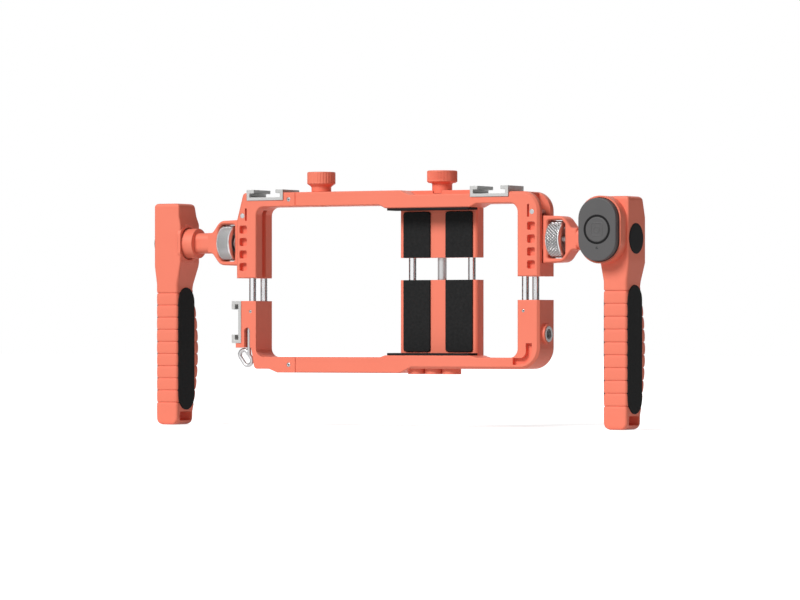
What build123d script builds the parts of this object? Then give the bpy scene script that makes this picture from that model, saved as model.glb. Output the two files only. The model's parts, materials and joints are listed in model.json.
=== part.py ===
from build123d import *
import os

# A two-handled cage that clamps a telephone, with a wireless shutter remote on the right handle.
# Millimetres. +Z is up, -Y is the side of the telephone's screen, +X is the remote's side.
# The origin is the mouth of the middle tripod socket, straight below the clamp screw.

# Fits
overrun = 1.0
run_clearance = 0.05
seat_clearance = 0.02
slide_clearance = 0.15
face_clearance = 0.2
curve_clearance = 0.3
side_wall_share = 0.5
slim_edge_share = 0.12

# Cage
cage_length = 179.0
cage_depth = 16.2
block_width = 12.3
clamp_offset = 25.0
inner_corner_radius = 4.5
outer_edge_chamfer = 1.2
edge_chamfer = 0.4
top_bar_height = 7.4
right_corner_drop = 1.5
upper_corner_radius = 10.0
lower_corner_radius = 11.0
left_slope_run = 4.0
left_slope_fall = 14.5
left_slope_radius = 2.0
lower_bar_height = 8.1
thin_bar_height = 5.8
boss_height = 2.8
lower_block_height = 35.0
block_gap = 11.9
phone_gap = 73.1

# Jaws
jaw_half_length = 24.8
jaw_step = 1.7
lower_jaw_step = 1.0
jaw_ramp = 3.5
jaw_pad_thickness = 1.2
jaw_pad_inset = 0.8
bar_slope_start = 16.0
bar_slope_run = 5.0
jaw_slope_fall = 2.3
jaw_slope_depth = 11.0

# Corner joints
shoe_seam_gap = 7.3
tongue_length = 6.8
tongue_height = 3.6
tongue_depth = 9.0
corner_screw_radius = 0.7
corner_screw_head_radius = 1.1
corner_screw_head_height = 1.2
corner_screw_inset = 4.0

# Back plates
plate_half_width = 22.5
plate_front_back = 12.0
plate_thickness = 8.3
plate_gap = 11.4
lower_plate_height = 38.7
plate_edge_chamfer = 0.8
plate_rebate = 0.6
plate_rebate_depth = 5.0
back_pad_width = 15.7
back_pad_offset = 12.35
back_pad_thickness = 1.4
back_pad_recess = 0.5
back_pad_radius = 1.7
back_pad_inset = 0.6
upper_screw_offset = 11.0
lower_screw_offset = 16.5
plate_screw_radius = 1.25
plate_screw_head_radius = 2.3
plate_screw_head_height = 1.4
plate_screw_grip = 4.5

# Rods and the lead screw
side_rod_radius = 1.8
side_rod_wall = 0.65
side_rod_inset = 3.4
side_rod_grip = 11.0
side_rod_reach = 40.2
middle_rod_radius = 1.95
middle_rod_offset = 17.4
middle_rod_grip = 20.0
middle_rod_reach = 31.7
rod_end_chamfer = 0.4
set_screw_radius = 0.8
set_screw_depth = 5.5
lead_screw_radius = 2.3
lead_collar_radius = 3.9
lead_collar_height = 2.0
lead_screw_reach = 23.8
nut_width = 7.6
nut_height = 6.0
nut_cover = 1.0
screw_floor = 2.9
close_travel = 11.0
end_gap = 0.6

# Knobs
clamp_knob_radius = 7.8
clamp_knob_height = 6.4
clamp_knob_neck_radius = 5.2
clamp_knob_neck_height = 5.3
knob_edge_radius = 0.7
knob_seat_drop = 1.6
knob_seat_margin = 0.5
knob_shank_radius = 1.7
knob_shank_depth = 7.0
thumb_knob_radius = 7.35
thumb_knob_height = 7.3
thumb_knob_neck_radius = 5.15
thumb_knob_neck_height = 3.0
thumb_knob_seam_gap = 11.1
thumb_stud_radius = 3.1
thumb_stud_grip = 6.0

# Cold shoes
shoe_width = 22.0
shoe_height = 5.6
shoe_base = 1.6
shoe_wall = 1.7
shoe_slot = 2.1
shoe_lip_gap = 13.2
shoe_depth = 16.8
shoe_recess = 4.0
left_shoe_inset = 6.8
right_shoe_jaw_gap = 0.3
shoe_screw_radius = 1.25
shoe_screw_head_radius = 2.4
shoe_screw_head_height = 1.1
shoe_screw_grip = 2.4
side_shoe_recess = 3.3
shoe_edge_chamfer = 0.2

# Clamping rail of each upper block
channel_half_depth = 4.5
channel_depth = 3.0
channel_foot = 6.6
stud_slot_half_depth = 2.15
lip_thickness = 1.6
track_half_depth = 3.5
track_depth = 2.3
groove_half_depth = 1.9
groove_depth = 2.3
strap_slot_depth = 6.6
strap_slot_foot = 27.3
strap_pin_inset = 4.0
strap_pin_height = 32.6
strap_pin_radius = 1.25
notch_width = 4.4
notch_height = 4.2
notch_depth = 2.6
notch_inset = 2.3
notch_pitch = 6.5
notch_foot = 3.8
notch_radius = 0.9
notch_count = 4
narrow_notch_width = 1.1
narrow_notch_height = 6.4
narrow_notch_foot = 30.0
narrow_notch_inset = 5.6

# Lower corners
corner_pocket_width = 3.4
corner_pocket_depth = 2.4
corner_pocket_inset = 4.0
corner_pocket_arm = 7.5
corner_pocket_foot = 2.2
corner_cut_width = 9.4
corner_cut_lean = 2.0
left_foot_rise = 1.9
left_foot_length = 8.0
ledge_height = 2.4
loop_slot_width = 3.4
loop_slot_height = 10.4
loop_slot_depth = 4.4
loop_slot_inset = 5.2
loop_wire_radius = 1.05
loop_pivot_depth = 1.2
loop_centre_inset = 4.9
loop_centre_drop = 5.25
loop_leg_rise = 1.2
loop_length = 8.8
loop_lean_run = 3.0
loop_lean_fall = 4.0
loop_bend_radius = 2.5

# Threaded inserts
insert_radius = 4.0
insert_bore_radius = 2.6
insert_bore_depth = 7.6
boss_radius = 4.9
boss_pitch = 10.0
side_boss_radius = 5.1
side_boss_height = 1.6
side_boss_level = 20.6
side_insert_length = 9.0

# Arms
yoke_length = 16.5
yoke_height = 24.1
yoke_depth = 9.4
shoulder_run = 4.7
shoulder_fall = 0.5
shoulder_radius = 5.5
yoke_edge_chamfer = 0.6
window_inset = 2.7
window_length = 10.0
window_height = 19.4
window_radius = 1.2
window_corner_cut = 2.0
arm_level = 18.6
foot_height = 10.0
neck_radius = 5.4
neck_flare = 2.0
neck_corner_radius = 3.6
collar_radius = 7.8
collar_length = 7.0
collar_groove = 0.7
handle_reach = 35.1
collar_gap = 0.5
spigot_radius = 4.0
wheel_radius = 9.3
wheel_width = 8.0
wheel_edge_chamfer = 0.9
wheel_recess_radius = 6.0
wheel_recess_depth = 0.8
stud_radius = 2.0
stud_head_height = 9.6
stud_tip = 0.3
washer_radius = 4.6
washer_thickness = 0.6

# Handles
head_width = 15.4
grip_width = 13.3
handle_front = 8.3
handle_top = 21.1
handle_length = 116.7
head_back = 11.2
head_top_back = 7.9
head_slant_height = 10.4
head_foot = 12.0
head_taper = 9.4
waist_level = 24.0
waist_back = 7.7
belly_back = 13.4
belly_foot_rise = 7.1
foot_back = 7.4
handle_top_radius = 2.0
handle_foot_radius = 3.6
handle_edge_radius = 1.4
handle_inner_back_radius = 1.0
handle_outer_back_radius = 0.8
bulge_rise = 0.9
bulge_slope = 4.5
ring_radius = 9.8
ring_height = 1.3
collar_seat_depth = 0.3
groove_pitch = 6.4
groove_height = 0.6
groove_cut = 0.45
groove_top = 26.2
groove_count = 10
grip_pad_width = 15.4
grip_pad_top = 23.2
grip_pad_slot_gap = 0.9
grip_pad_offset = 0.5
grip_pad_thickness = 1.3
grip_pad_recess = 0.7
grip_pad_edge_radius = 0.4
lanyard_slot_rise = 2.2
lanyard_slot_height = 4.7
lanyard_slot_depth = 11.6
lanyard_slot_radius = 1.2
friction_ring_thickness = 0.7
pivot_screw_radius = 2.4
pivot_screw_head_radius = 4.6
pivot_screw_head_height = 2.4
pivot_screw_bite = 5.6
pivot_washer_radius = 6.0
pivot_washer_thickness = 0.7
pivot_pocket_radius = 6.4
cap_radius = 8.3
cap_thickness = 1.4
cap_recess = 1.0
cap_edge_radius = 0.3

# Remote and its cup
remote_width = 21.0
remote_height = 31.4
remote_corner_radius = 10.3
remote_depth = 7.8
remote_wall = 1.2
remote_edge_radius = 0.5
remote_base_thickness = 1.2
remote_lip = 0.6
remote_rise = 4.3
cup_wall = 0.9
cup_inset = 1.2
cup_floor = 1.6
cup_depth = 6.1
cup_gap = 0.1
cup_screw_pitch = 7.0
cup_screw_radius = 1.0
cup_screw_head_radius = 1.8
cup_screw_head_height = 0.9
cup_screw_grip = 3.2
button_radius = 6.3
button_gap = 0.08
button_rise = 0.2
button_travel = 0.6
button_flange_radius = 7.4
button_flange_thickness = 0.6
button_stem_radius = 1.5
button_ring_width = 0.95
button_ring_depth = 0.6
lens_radius = 0.65
lens_drop = 9.3
board_thickness = 0.8
board_margin = 0.3
switch_width = 3.4
switch_height = 1.0
switch_gap = 0.05
cell_radius = 8.0
cell_thickness = 1.6

# Levels and places worked out from the values above
mid_x = -clamp_offset
half_depth = cage_depth / 2
front_y = -half_depth
back_y = half_depth
outer_right = mid_x + cage_length / 2
outer_left = mid_x - cage_length / 2
inner_right = outer_right - block_width
inner_left = outer_left + block_width
lower_bar_top = boss_height + thin_bar_height
lower_bar_foot = lower_bar_top - lower_bar_height
lower_jaw_top = lower_bar_top + lower_jaw_step
lower_block_top = boss_height + lower_block_height
upper_block_foot = lower_block_top + block_gap
upper_jaw_foot = lower_jaw_top + 2 * jaw_pad_thickness + phone_gap
top_bar_foot = upper_jaw_foot + jaw_step
bar_top = top_bar_foot + top_bar_height
right_top = bar_top - right_corner_drop
shoe_floor = bar_top - shoe_recess
plate_y0 = front_y + plate_front_back
plate_y1 = plate_y0 + plate_thickness
plate_mid_y = (plate_y0 + plate_y1) / 2
lower_plate_top = lower_jaw_top + lower_plate_height
upper_plate_foot = lower_plate_top + plate_gap
side_rod_y = half_depth - side_rod_radius - side_rod_wall
side_rod_foot = lower_block_top - side_rod_grip
side_rod_top = lower_block_top + side_rod_reach
middle_rod_foot = lower_plate_top - middle_rod_grip
middle_rod_top = lower_plate_top + middle_rod_reach
rod_bore_top = side_rod_top + close_travel + end_gap
middle_bore_top = middle_rod_top + close_travel + end_gap
side_rod_xs = (inner_left - side_rod_inset, inner_right + side_rod_inset)
middle_rod_xs = (-middle_rod_offset, middle_rod_offset)
knob_seat = bar_top - knob_seat_drop
lead_screw_foot = lower_plate_top - lead_screw_reach
lead_screw_top = knob_seat - end_gap
collar_level = top_bar_foot + top_bar_height / 3
left_shoe_x = outer_left + left_shoe_inset + shoe_width / 2
right_shoe_x = jaw_half_length + right_shoe_jaw_gap + shoe_width / 2
seam_x = left_shoe_x + shoe_width / 2 + shoe_seam_gap
arm_z = upper_block_foot + arm_level
thumb_x = seam_x + thumb_knob_seam_gap
upper_seam_z = (top_bar_foot + bar_top) / 2
lower_seam_z = (lower_bar_foot + lower_bar_top) / 2


def span_box(x_span, y_span, z_span, mode=Mode.ADD):
    # A box between two planes on each axis.
    spans = (x_span, y_span, z_span)
    middle = tuple((min(span) + max(span)) / 2 for span in spans)
    sizes = tuple(max(span) - min(span) for span in spans)
    with Locations(middle):
        Box(*sizes, mode=mode)


def round_bar(axis, radius, span, place, mode=Mode.ADD):
    # A cylinder along one axis; place holds the other two coordinates in order.
    middle = (min(span) + max(span)) / 2
    length = max(span) - min(span)
    if axis == "X":
        centre, turn = (middle, place[0], place[1]), (0, 90, 0)
    elif axis == "Y":
        centre, turn = (place[0], middle, place[1]), (90, 0, 0)
    else:
        centre, turn = (place[0], place[1], middle), (0, 0, 0)
    with Locations(centre):
        Cylinder(radius, length, rotation=turn, mode=mode)


def front_outline(points, radii):
    # A closed outline seen from the front, with a corner radius for each point.
    with BuildLine() as outline:
        FilletPolyline(*points, radius=radii, close=True)
    make_face(outline.edges())


os.makedirs("parts", exist_ok=True)


def finish(part, name):
    part.label = name
    export_step(part, f"parts/{name}.step")


def soften_front(builder, outer_x, level, wide, narrow):
    # Chamfers the front face: wide along the outer side above a level, narrow elsewhere.
    face = builder.faces().filter_by(Axis.Y).sort_by(Axis.Y)[0]
    near = upper_corner_radius / 2
    outer = [edge for edge in face.outer_wire().edges()
             if abs(edge.center().X - outer_x) < near and edge.center().Z > level]
    chamfer(outer, wide)
    face = builder.faces().filter_by(Axis.Y).sort_by(Axis.Y)[0]
    sides = [other for other in builder.faces() if abs(other.normal_at().Y) < side_wall_share]
    side_edges = [edge for other in sides for edge in other.edges()]
    rest = [edge for edge in face.outer_wire().edges()
            if any(edge.is_same(other) for other in side_edges)]
    chamfer(rest, narrow)


def rail_cuts(side):
    # The clamping rail of one upper block: channel, stud slot, nut track and inner groove.
    outer = outer_right if side > 0 else outer_left
    inner = inner_right if side > 0 else inner_left
    past = outer + side * overrun
    channel_floor = outer - side * channel_depth
    track_face = channel_floor - side * lip_thickness
    track_floor = track_face - side * track_depth
    channel_z = (upper_block_foot + channel_foot, bar_top + overrun)
    stud_z = (upper_block_foot + channel_foot, upper_block_foot + strap_slot_foot + overrun)
    channel = (-channel_half_depth, channel_half_depth)
    span_box((channel_floor, past), channel, channel_z, Mode.SUBTRACT)
    stud_y = (-stud_slot_half_depth, stud_slot_half_depth)
    span_box((track_face, channel_floor), stud_y, stud_z, Mode.SUBTRACT)
    track_y = (-track_half_depth, track_half_depth)
    span_box((track_floor, track_face), track_y, stud_z, Mode.SUBTRACT)
    strap_z = (upper_block_foot + strap_slot_foot, bar_top + overrun)
    span_box((outer - side * strap_slot_depth, past), channel, strap_z, Mode.SUBTRACT)
    groove_x = (inner - side * overrun, inner + side * groove_depth)
    groove_y = (-groove_half_depth, groove_half_depth)
    groove_z = (upper_block_foot - overrun, top_bar_foot + groove_depth)
    span_box(groove_x, groove_y, groove_z, Mode.SUBTRACT)


def rail_notches(side):
    # A row of notches down the front of the block, and a narrow one beside the strap pin.
    outer = outer_right if side > 0 else outer_left
    x = outer - side * (notch_inset + notch_width / 2)
    narrow_x = outer - side * (narrow_notch_inset + narrow_notch_width / 2)
    first = upper_block_foot + notch_foot + notch_height / 2
    with BuildSketch(Plane.XZ.offset(half_depth)) as notches:
        for index in range(notch_count):
            with Locations((x, first + index * notch_pitch)):
                RectangleRounded(notch_width, notch_height, notch_radius)
        with Locations((narrow_x, upper_block_foot + narrow_notch_foot + narrow_notch_height / 2)):
            Rectangle(narrow_notch_width, narrow_notch_height)
    extrude(notches.sketch, amount=-notch_depth, mode=Mode.SUBTRACT)


def rod_bores(x, foot, top, clearance):
    for y in (-side_rod_y, side_rod_y):
        round_bar("Z", side_rod_radius + clearance, (foot, top), (x, y), Mode.SUBTRACT)


def strap_pin_place(side):
    outer = outer_right if side > 0 else outer_left
    return outer - side * strap_pin_inset, upper_block_foot + strap_pin_height


def plate_screw_bores(screw_offset, level, foot, top, radius):
    for x in (-screw_offset, screw_offset):
        round_bar("Y", radius, (foot, top), (x, level), Mode.SUBTRACT)


def tongue(level):
    # The tongue at the bar's left end, which the corner piece slides over.
    height = (level - tongue_height / 2, level + tongue_height / 2)
    depth = (-tongue_depth / 2, tongue_depth / 2)
    span_box((seam_x - tongue_length, seam_x), depth, height)
    round_bar("Y", corner_screw_radius + seat_clearance, (front_y, back_y),
              (seam_x - corner_screw_inset, level), Mode.SUBTRACT)


def tongue_socket(level):
    # The socket for that tongue, with the counterbored hole of its cross screw.
    half_height = tongue_height / 2 + seat_clearance
    half_socket = tongue_depth / 2 + seat_clearance
    span_box((seam_x - tongue_length - seat_clearance, seam_x + overrun),
             (-half_socket, half_socket), (level - half_height, level + half_height), Mode.SUBTRACT)
    place = (seam_x - corner_screw_inset, level)
    round_bar("Y", corner_screw_radius + seat_clearance, (front_y - overrun, back_y - overrun),
              place, Mode.SUBTRACT)
    round_bar("Y", corner_screw_head_radius + seat_clearance,
              (front_y - overrun, front_y + corner_screw_head_height), place, Mode.SUBTRACT)


def set_screw_bores(x):
    # The threaded holes of the screws that hold two rods, from the front and from the back.
    reach = half_depth - side_rod_y - side_rod_radius
    for face in (front_y, back_y):
        inward = -1 if face > 0 else 1
        span = (face - inward * overrun, face + inward * (reach + seat_clearance))
        round_bar("Y", set_screw_radius + seat_clearance, span,
                  (x, lower_block_top - set_screw_depth), Mode.SUBTRACT)


lower_screw_z = boss_height + (lower_jaw_top - boss_height) / 2

# Upper frame: the bar, its jaw and the right block, in one machined piece
slope_x = -bar_slope_start
slope_end = slope_x + bar_slope_run
jaw_top = bar_top - jaw_slope_fall
shoe_left = right_shoe_x - shoe_width / 2
shoe_right = right_shoe_x + shoe_width / 2
with BuildPart() as upper_frame:
    with BuildSketch(Plane.XZ.offset(half_depth)):
        front_outline(
            [
                (seam_x, top_bar_foot),
                (-jaw_half_length - jaw_ramp, top_bar_foot),
                (-jaw_half_length, upper_jaw_foot),
                (jaw_half_length, upper_jaw_foot),
                (jaw_half_length + jaw_ramp, top_bar_foot),
                (inner_right, top_bar_foot),
                (inner_right, upper_block_foot),
                (outer_right, upper_block_foot),
                (outer_right, right_top),
                (shoe_right, right_top),
                (shoe_right, shoe_floor),
                (shoe_left, shoe_floor),
                (shoe_left, bar_top),
                (seam_x, bar_top),
            ],
            [0, 0, 0, 0, 0, inner_corner_radius, 0, 0, upper_corner_radius, 0, 0, 0, 0, 0],
        )
    extrude(amount=-cage_depth)
    # The top of the jaw is lower in front than behind.
    with BuildSketch(Plane.XZ.offset(half_depth)):
        with BuildLine():
            Polyline(
                (slope_x, bar_top),
                (slope_end, jaw_top),
                (shoe_left, jaw_top),
                (shoe_left, bar_top),
                close=True,
            )
        make_face()
    extrude(amount=-jaw_slope_depth, mode=Mode.SUBTRACT)
    soften_front(upper_frame, outer_right, upper_block_foot, outer_edge_chamfer, edge_chamfer)
    rail_cuts(1)
    rail_notches(1)
    rod_bores(side_rod_xs[1], upper_block_foot - overrun, rod_bore_top, run_clearance)
    pin_x, pin_z = strap_pin_place(1)
    round_bar("Y", strap_pin_radius + seat_clearance, (front_y - overrun, back_y + overrun),
              (pin_x, pin_z), Mode.SUBTRACT)
    # The clamp screw, its collar and the middle rods lie half in the bar, half in the plate.
    round_bar("Z", lead_screw_radius + run_clearance, (upper_jaw_foot - overrun, bar_top + overrun),
              (0, plate_mid_y), Mode.SUBTRACT)
    collar_span = (collar_level - slide_clearance, collar_level + lead_collar_height + slide_clearance)
    round_bar("Z", lead_collar_radius + slide_clearance, collar_span, (0, plate_mid_y), Mode.SUBTRACT)
    round_bar("Z", clamp_knob_neck_radius + knob_seat_margin, (knob_seat, bar_top + overrun),
              (0, plate_mid_y), Mode.SUBTRACT)
    for rod_x in middle_rod_xs:
        round_bar("Z", middle_rod_radius + run_clearance, (upper_jaw_foot - overrun, middle_bore_top),
                  (rod_x, plate_mid_y), Mode.SUBTRACT)
    plate_screw_bores(upper_screw_offset, upper_seam_z, back_y - plate_screw_grip - end_gap,
                      back_y + overrun, plate_screw_radius + seat_clearance)
    # Thumb screw's thread and the shoe's fixing screw
    round_bar("Z", thumb_stud_radius + run_clearance, (top_bar_foot - overrun, bar_top + overrun),
              (thumb_x, 0), Mode.SUBTRACT)
    round_bar("Z", shoe_screw_radius + seat_clearance, (shoe_floor - shoe_screw_grip - end_gap,
              shoe_floor + overrun), (right_shoe_x, 0), Mode.SUBTRACT)
    tongue(upper_seam_z)
finish(upper_frame.part, "upper_frame")

# Upper left corner: the rest of the bar with the left block, screwed to the bar's tongue
left_shoe_edges = (left_shoe_x - shoe_width / 2, left_shoe_x + shoe_width / 2)
with BuildPart() as upper_left_corner:
    with BuildSketch(Plane.XZ.offset(half_depth)):
        front_outline(
            [
                (seam_x, top_bar_foot),
                (seam_x, bar_top),
                (left_shoe_edges[1], bar_top),
                (left_shoe_edges[1], shoe_floor),
                (left_shoe_edges[0], shoe_floor),
                (left_shoe_edges[0], bar_top),
                (outer_left + left_slope_run, bar_top),
                (outer_left, bar_top - left_slope_fall),
                (outer_left, upper_block_foot),
                (inner_left, upper_block_foot),
                (inner_left, top_bar_foot),
            ],
            [0, 0, 0, 0, 0, 0, left_slope_radius, left_slope_radius, 0, 0, inner_corner_radius],
        )
    extrude(amount=-cage_depth)
    soften_front(upper_left_corner, outer_left, upper_block_foot, outer_edge_chamfer, edge_chamfer)
    rail_cuts(-1)
    rail_notches(-1)
    rod_bores(side_rod_xs[0], upper_block_foot - overrun, rod_bore_top, run_clearance)
    pin_x, pin_z = strap_pin_place(-1)
    round_bar("Y", strap_pin_radius + seat_clearance, (front_y - overrun, back_y + overrun),
              (pin_x, pin_z), Mode.SUBTRACT)
    round_bar("Z", shoe_screw_radius + seat_clearance, (shoe_floor - shoe_screw_grip - end_gap,
              shoe_floor + overrun), (left_shoe_x, 0), Mode.SUBTRACT)
    tongue_socket(upper_seam_z)
finish(upper_left_corner.part, "upper_left_corner")

# Lower frame: the lower bar, its jaw, the right block and the tripod bosses
with BuildPart() as lower_frame:
    with BuildSketch(Plane.XZ.offset(half_depth)):
        front_outline(
            [
                (seam_x, lower_bar_foot),
                (slope_x, lower_bar_foot),
                (slope_end, boss_height),
                (outer_right, boss_height),
                (outer_right, lower_block_top),
                (inner_right, lower_block_top),
                (inner_right, lower_bar_top),
                (jaw_half_length + jaw_ramp, lower_bar_top),
                (jaw_half_length, lower_jaw_top),
                (-jaw_half_length, lower_jaw_top),
                (-jaw_half_length - jaw_ramp, lower_bar_top),
                (seam_x, lower_bar_top),
            ],
            [0, 0, 0, lower_corner_radius, 0, 0, inner_corner_radius, 0, 0, 0, 0, 0],
        )
    extrude(amount=-cage_depth)
    soften_front(lower_frame, outer_right, lower_bar_top, outer_edge_chamfer, edge_chamfer)
    for index in (-1, 0, 1):
        round_bar("Z", boss_radius, (0, boss_height + seat_clearance), (index * boss_pitch, 0))
        round_bar("Z", insert_radius + seat_clearance, (-overrun, lower_jaw_top + overrun),
                  (index * boss_pitch, 0), Mode.SUBTRACT)
    side_boss_x = outer_right + side_boss_height
    round_bar("X", side_boss_radius, (outer_right - overrun, side_boss_x), (0, side_boss_level))
    round_bar("X", insert_radius + seat_clearance, (side_boss_x - side_insert_length,
              side_boss_x + overrun), (0, side_boss_level), Mode.SUBTRACT)
    # The curved pocket in the lower right corner
    pocket_x = outer_right - corner_pocket_inset
    pocket_z = boss_height + corner_pocket_foot
    pocket_reach = corner_pocket_arm + corner_pocket_width
    with BuildSketch(Plane.XZ.offset(half_depth)):
        front_outline(
            [
                (pocket_x, pocket_z + pocket_reach),
                (pocket_x, pocket_z),
                (pocket_x - pocket_reach, pocket_z),
                (pocket_x - pocket_reach, pocket_z + corner_pocket_width),
                (pocket_x - corner_pocket_width, pocket_z + corner_pocket_width),
                (pocket_x - corner_pocket_width, pocket_z + pocket_reach),
            ],
            [0, lower_corner_radius - corner_pocket_inset, 0, 0, corner_pocket_width, 0],
        )
    extrude(amount=-corner_pocket_depth, mode=Mode.SUBTRACT)
    rod_bores(side_rod_xs[1], side_rod_foot, lower_block_top + overrun, seat_clearance)
    set_screw_bores(side_rod_xs[1])
    plate_screw_bores(lower_screw_offset, lower_screw_z, back_y - plate_screw_grip - end_gap,
                      back_y + overrun, plate_screw_radius + seat_clearance)
    tongue(lower_seam_z)
finish(lower_frame.part, "lower_frame")

# Lower left corner: the left block, with the strap loop's slot and the seat of the side shoe
ledge_top = lower_block_top - shoe_width
ledge_foot = ledge_top - ledge_height
cut_x = outer_left + corner_cut_width
left_foot = lower_bar_foot + left_foot_rise
loop_x = outer_left + loop_slot_inset + loop_slot_width / 2
loop_y = front_y + loop_slot_depth / 2
loop_slot_top = ledge_foot + loop_slot_height
with BuildPart() as lower_left_corner:
    with BuildSketch(Plane.XZ.offset(half_depth)):
        front_outline(
            [
                (seam_x, lower_bar_foot),
                (seam_x, lower_bar_top),
                (inner_left, lower_bar_top),
                (inner_left, lower_block_top),
                (outer_left + side_shoe_recess, lower_block_top),
                (outer_left + side_shoe_recess, ledge_top),
                (outer_left, ledge_top),
                (outer_left, ledge_foot),
                (cut_x, ledge_foot),
                (cut_x + corner_cut_lean, left_foot),
                (inner_left + left_foot_length, left_foot),
                (inner_left + left_foot_length + bar_slope_run, lower_bar_foot),
            ],
            [0, 0, inner_corner_radius, 0, 0, 0, 0, 0, 0, left_slope_radius, 0, 0],
        )
    extrude(amount=-cage_depth)
    with BuildSketch(Plane.XZ.offset(half_depth)):
        with Locations((loop_x, (ledge_foot + loop_slot_top) / 2 - loop_slot_width / 2)):
            SlotCenterToCenter(loop_slot_height, loop_slot_width, rotation=90)
    extrude(amount=-loop_slot_depth, mode=Mode.SUBTRACT)
    round_bar("Z", loop_wire_radius + run_clearance, (ledge_foot, loop_slot_top + loop_pivot_depth),
              (loop_x, loop_y), Mode.SUBTRACT)
    rod_bores(side_rod_xs[0], side_rod_foot, lower_block_top + overrun, seat_clearance)
    set_screw_bores(side_rod_xs[0])
    round_bar("X", shoe_screw_radius + seat_clearance, (outer_left, outer_left + side_shoe_recess
              + shoe_screw_grip + end_gap), (0, ledge_top + shoe_width / 2), Mode.SUBTRACT)
    tongue_socket(lower_seam_z)
finish(lower_left_corner.part, "lower_left_corner")

# The strap loop: an oval of wire below a straight leg that turns in the slot
wire_x = outer_left + loop_centre_inset
wire_z = ledge_foot - loop_centre_drop
loop_plane = Plane(origin=(wire_x, loop_y, wire_z), x_dir=(loop_lean_run, 0, -loop_lean_fall),
                   z_dir=(0, -1, 0))
half_straight = loop_length / 2 - loop_bend_radius
with BuildPart() as strap_loop:
    with BuildLine(loop_plane) as loop_path:
        Line((-half_straight, loop_bend_radius), (half_straight, loop_bend_radius))
        ThreePointArc((half_straight, loop_bend_radius), (half_straight + loop_bend_radius, 0),
                      (half_straight, -loop_bend_radius))
        Line((half_straight, -loop_bend_radius), (-half_straight, -loop_bend_radius))
        ThreePointArc((-half_straight, -loop_bend_radius), (-half_straight - loop_bend_radius, 0),
                      (-half_straight, loop_bend_radius))
    with BuildSketch(Plane(origin=loop_path.line @ 0, z_dir=loop_path.line % 0)):
        Circle(loop_wire_radius)
    sweep()
    round_bar("Z", loop_wire_radius, (wire_z + loop_leg_rise, loop_slot_top + loop_pivot_depth
              - end_gap / 2), (loop_x, loop_y))
finish(strap_loop.part, "strap_loop")


def plate_outline(foot, top):
    # The plan of a back plate, with its bevelled front edges and the step in its sides.
    step_y = plate_y0 + plate_thickness - plate_rebate_depth
    half = plate_half_width
    points = [
        (-half + plate_edge_chamfer, plate_y0),
        (half - plate_edge_chamfer, plate_y0),
        (half, plate_y0 + plate_edge_chamfer),
        (half, step_y),
        (half - plate_rebate, step_y),
        (half - plate_rebate, plate_y1),
        (-half + plate_rebate, plate_y1),
        (-half + plate_rebate, step_y),
        (-half, step_y),
        (-half, plate_y0 + plate_edge_chamfer),
    ]
    with BuildSketch(Plane.XY.offset(foot)) as plan:
        with BuildLine() as outline:
            Polyline(*points, close=True)
        make_face(outline.edges())
    extrude(plan.sketch, amount=top - foot)


def pad_spans(foot, top):
    # The two pads of a plate, as spans on X with the same span on Z.
    half = back_pad_width / 2
    centres = (-back_pad_offset, back_pad_offset)
    return [((x - half, x + half), (foot, top)) for x in centres]


def back_pads(foot, top, level, name):
    # Rubber pads with two rounded corners at the end next to the jaw.
    front = plate_y0 + back_pad_recess
    with BuildPart() as pads:
        for x_span, z_span in pad_spans(foot, top):
            span_box(x_span, (front - back_pad_thickness, front), z_span)
        corners = [edge for edge in pads.edges().filter_by(Axis.Y)
                   if abs(edge.center().Z - level) < seat_clearance]
        fillet(corners, back_pad_radius)
    finish(pads.part, name)


def middle_rod_bores(foot, top, clearance):
    for x in middle_rod_xs:
        round_bar("Z", middle_rod_radius + clearance, (foot, top), (x, plate_mid_y), Mode.SUBTRACT)


# Upper back plate: hangs under the jaw, with a flange behind the bar
jaw_pad_back = plate_y0 + back_pad_recess - back_pad_thickness - end_gap
upper_pad_top = upper_jaw_foot - jaw_pad_thickness - back_pad_inset
lower_pad_foot = lower_jaw_top + jaw_pad_thickness + back_pad_inset
with BuildPart() as upper_back_plate:
    plate_outline(upper_plate_foot, upper_jaw_foot)
    flange_x = (-plate_half_width + plate_rebate, plate_half_width - plate_rebate)
    span_box(flange_x, (back_y, plate_y1), (upper_jaw_foot, bar_top))
    for x_span, z_span in pad_spans(upper_plate_foot - overrun, upper_pad_top + seat_clearance):
        span_box(x_span, (plate_y0 - overrun, plate_y0 + back_pad_recess), z_span, Mode.SUBTRACT)
    round_bar("Z", lead_screw_radius + run_clearance, (upper_plate_foot - overrun, bar_top + overrun),
              (0, plate_mid_y), Mode.SUBTRACT)
    round_bar("Z", lead_collar_radius + slide_clearance, collar_span, (0, plate_mid_y), Mode.SUBTRACT)
    round_bar("Z", clamp_knob_neck_radius + knob_seat_margin, (knob_seat, bar_top + overrun),
              (0, plate_mid_y), Mode.SUBTRACT)
    middle_rod_bores(upper_plate_foot - overrun, middle_bore_top, run_clearance)
    plate_screw_bores(upper_screw_offset, upper_seam_z, back_y - overrun, plate_y1 + overrun,
                      plate_screw_radius + seat_clearance)
    plate_screw_bores(upper_screw_offset, upper_seam_z, plate_y1 - plate_screw_head_height,
                      plate_y1 + overrun, plate_screw_head_radius + seat_clearance)
finish(upper_back_plate.part, "upper_back_plate")

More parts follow.
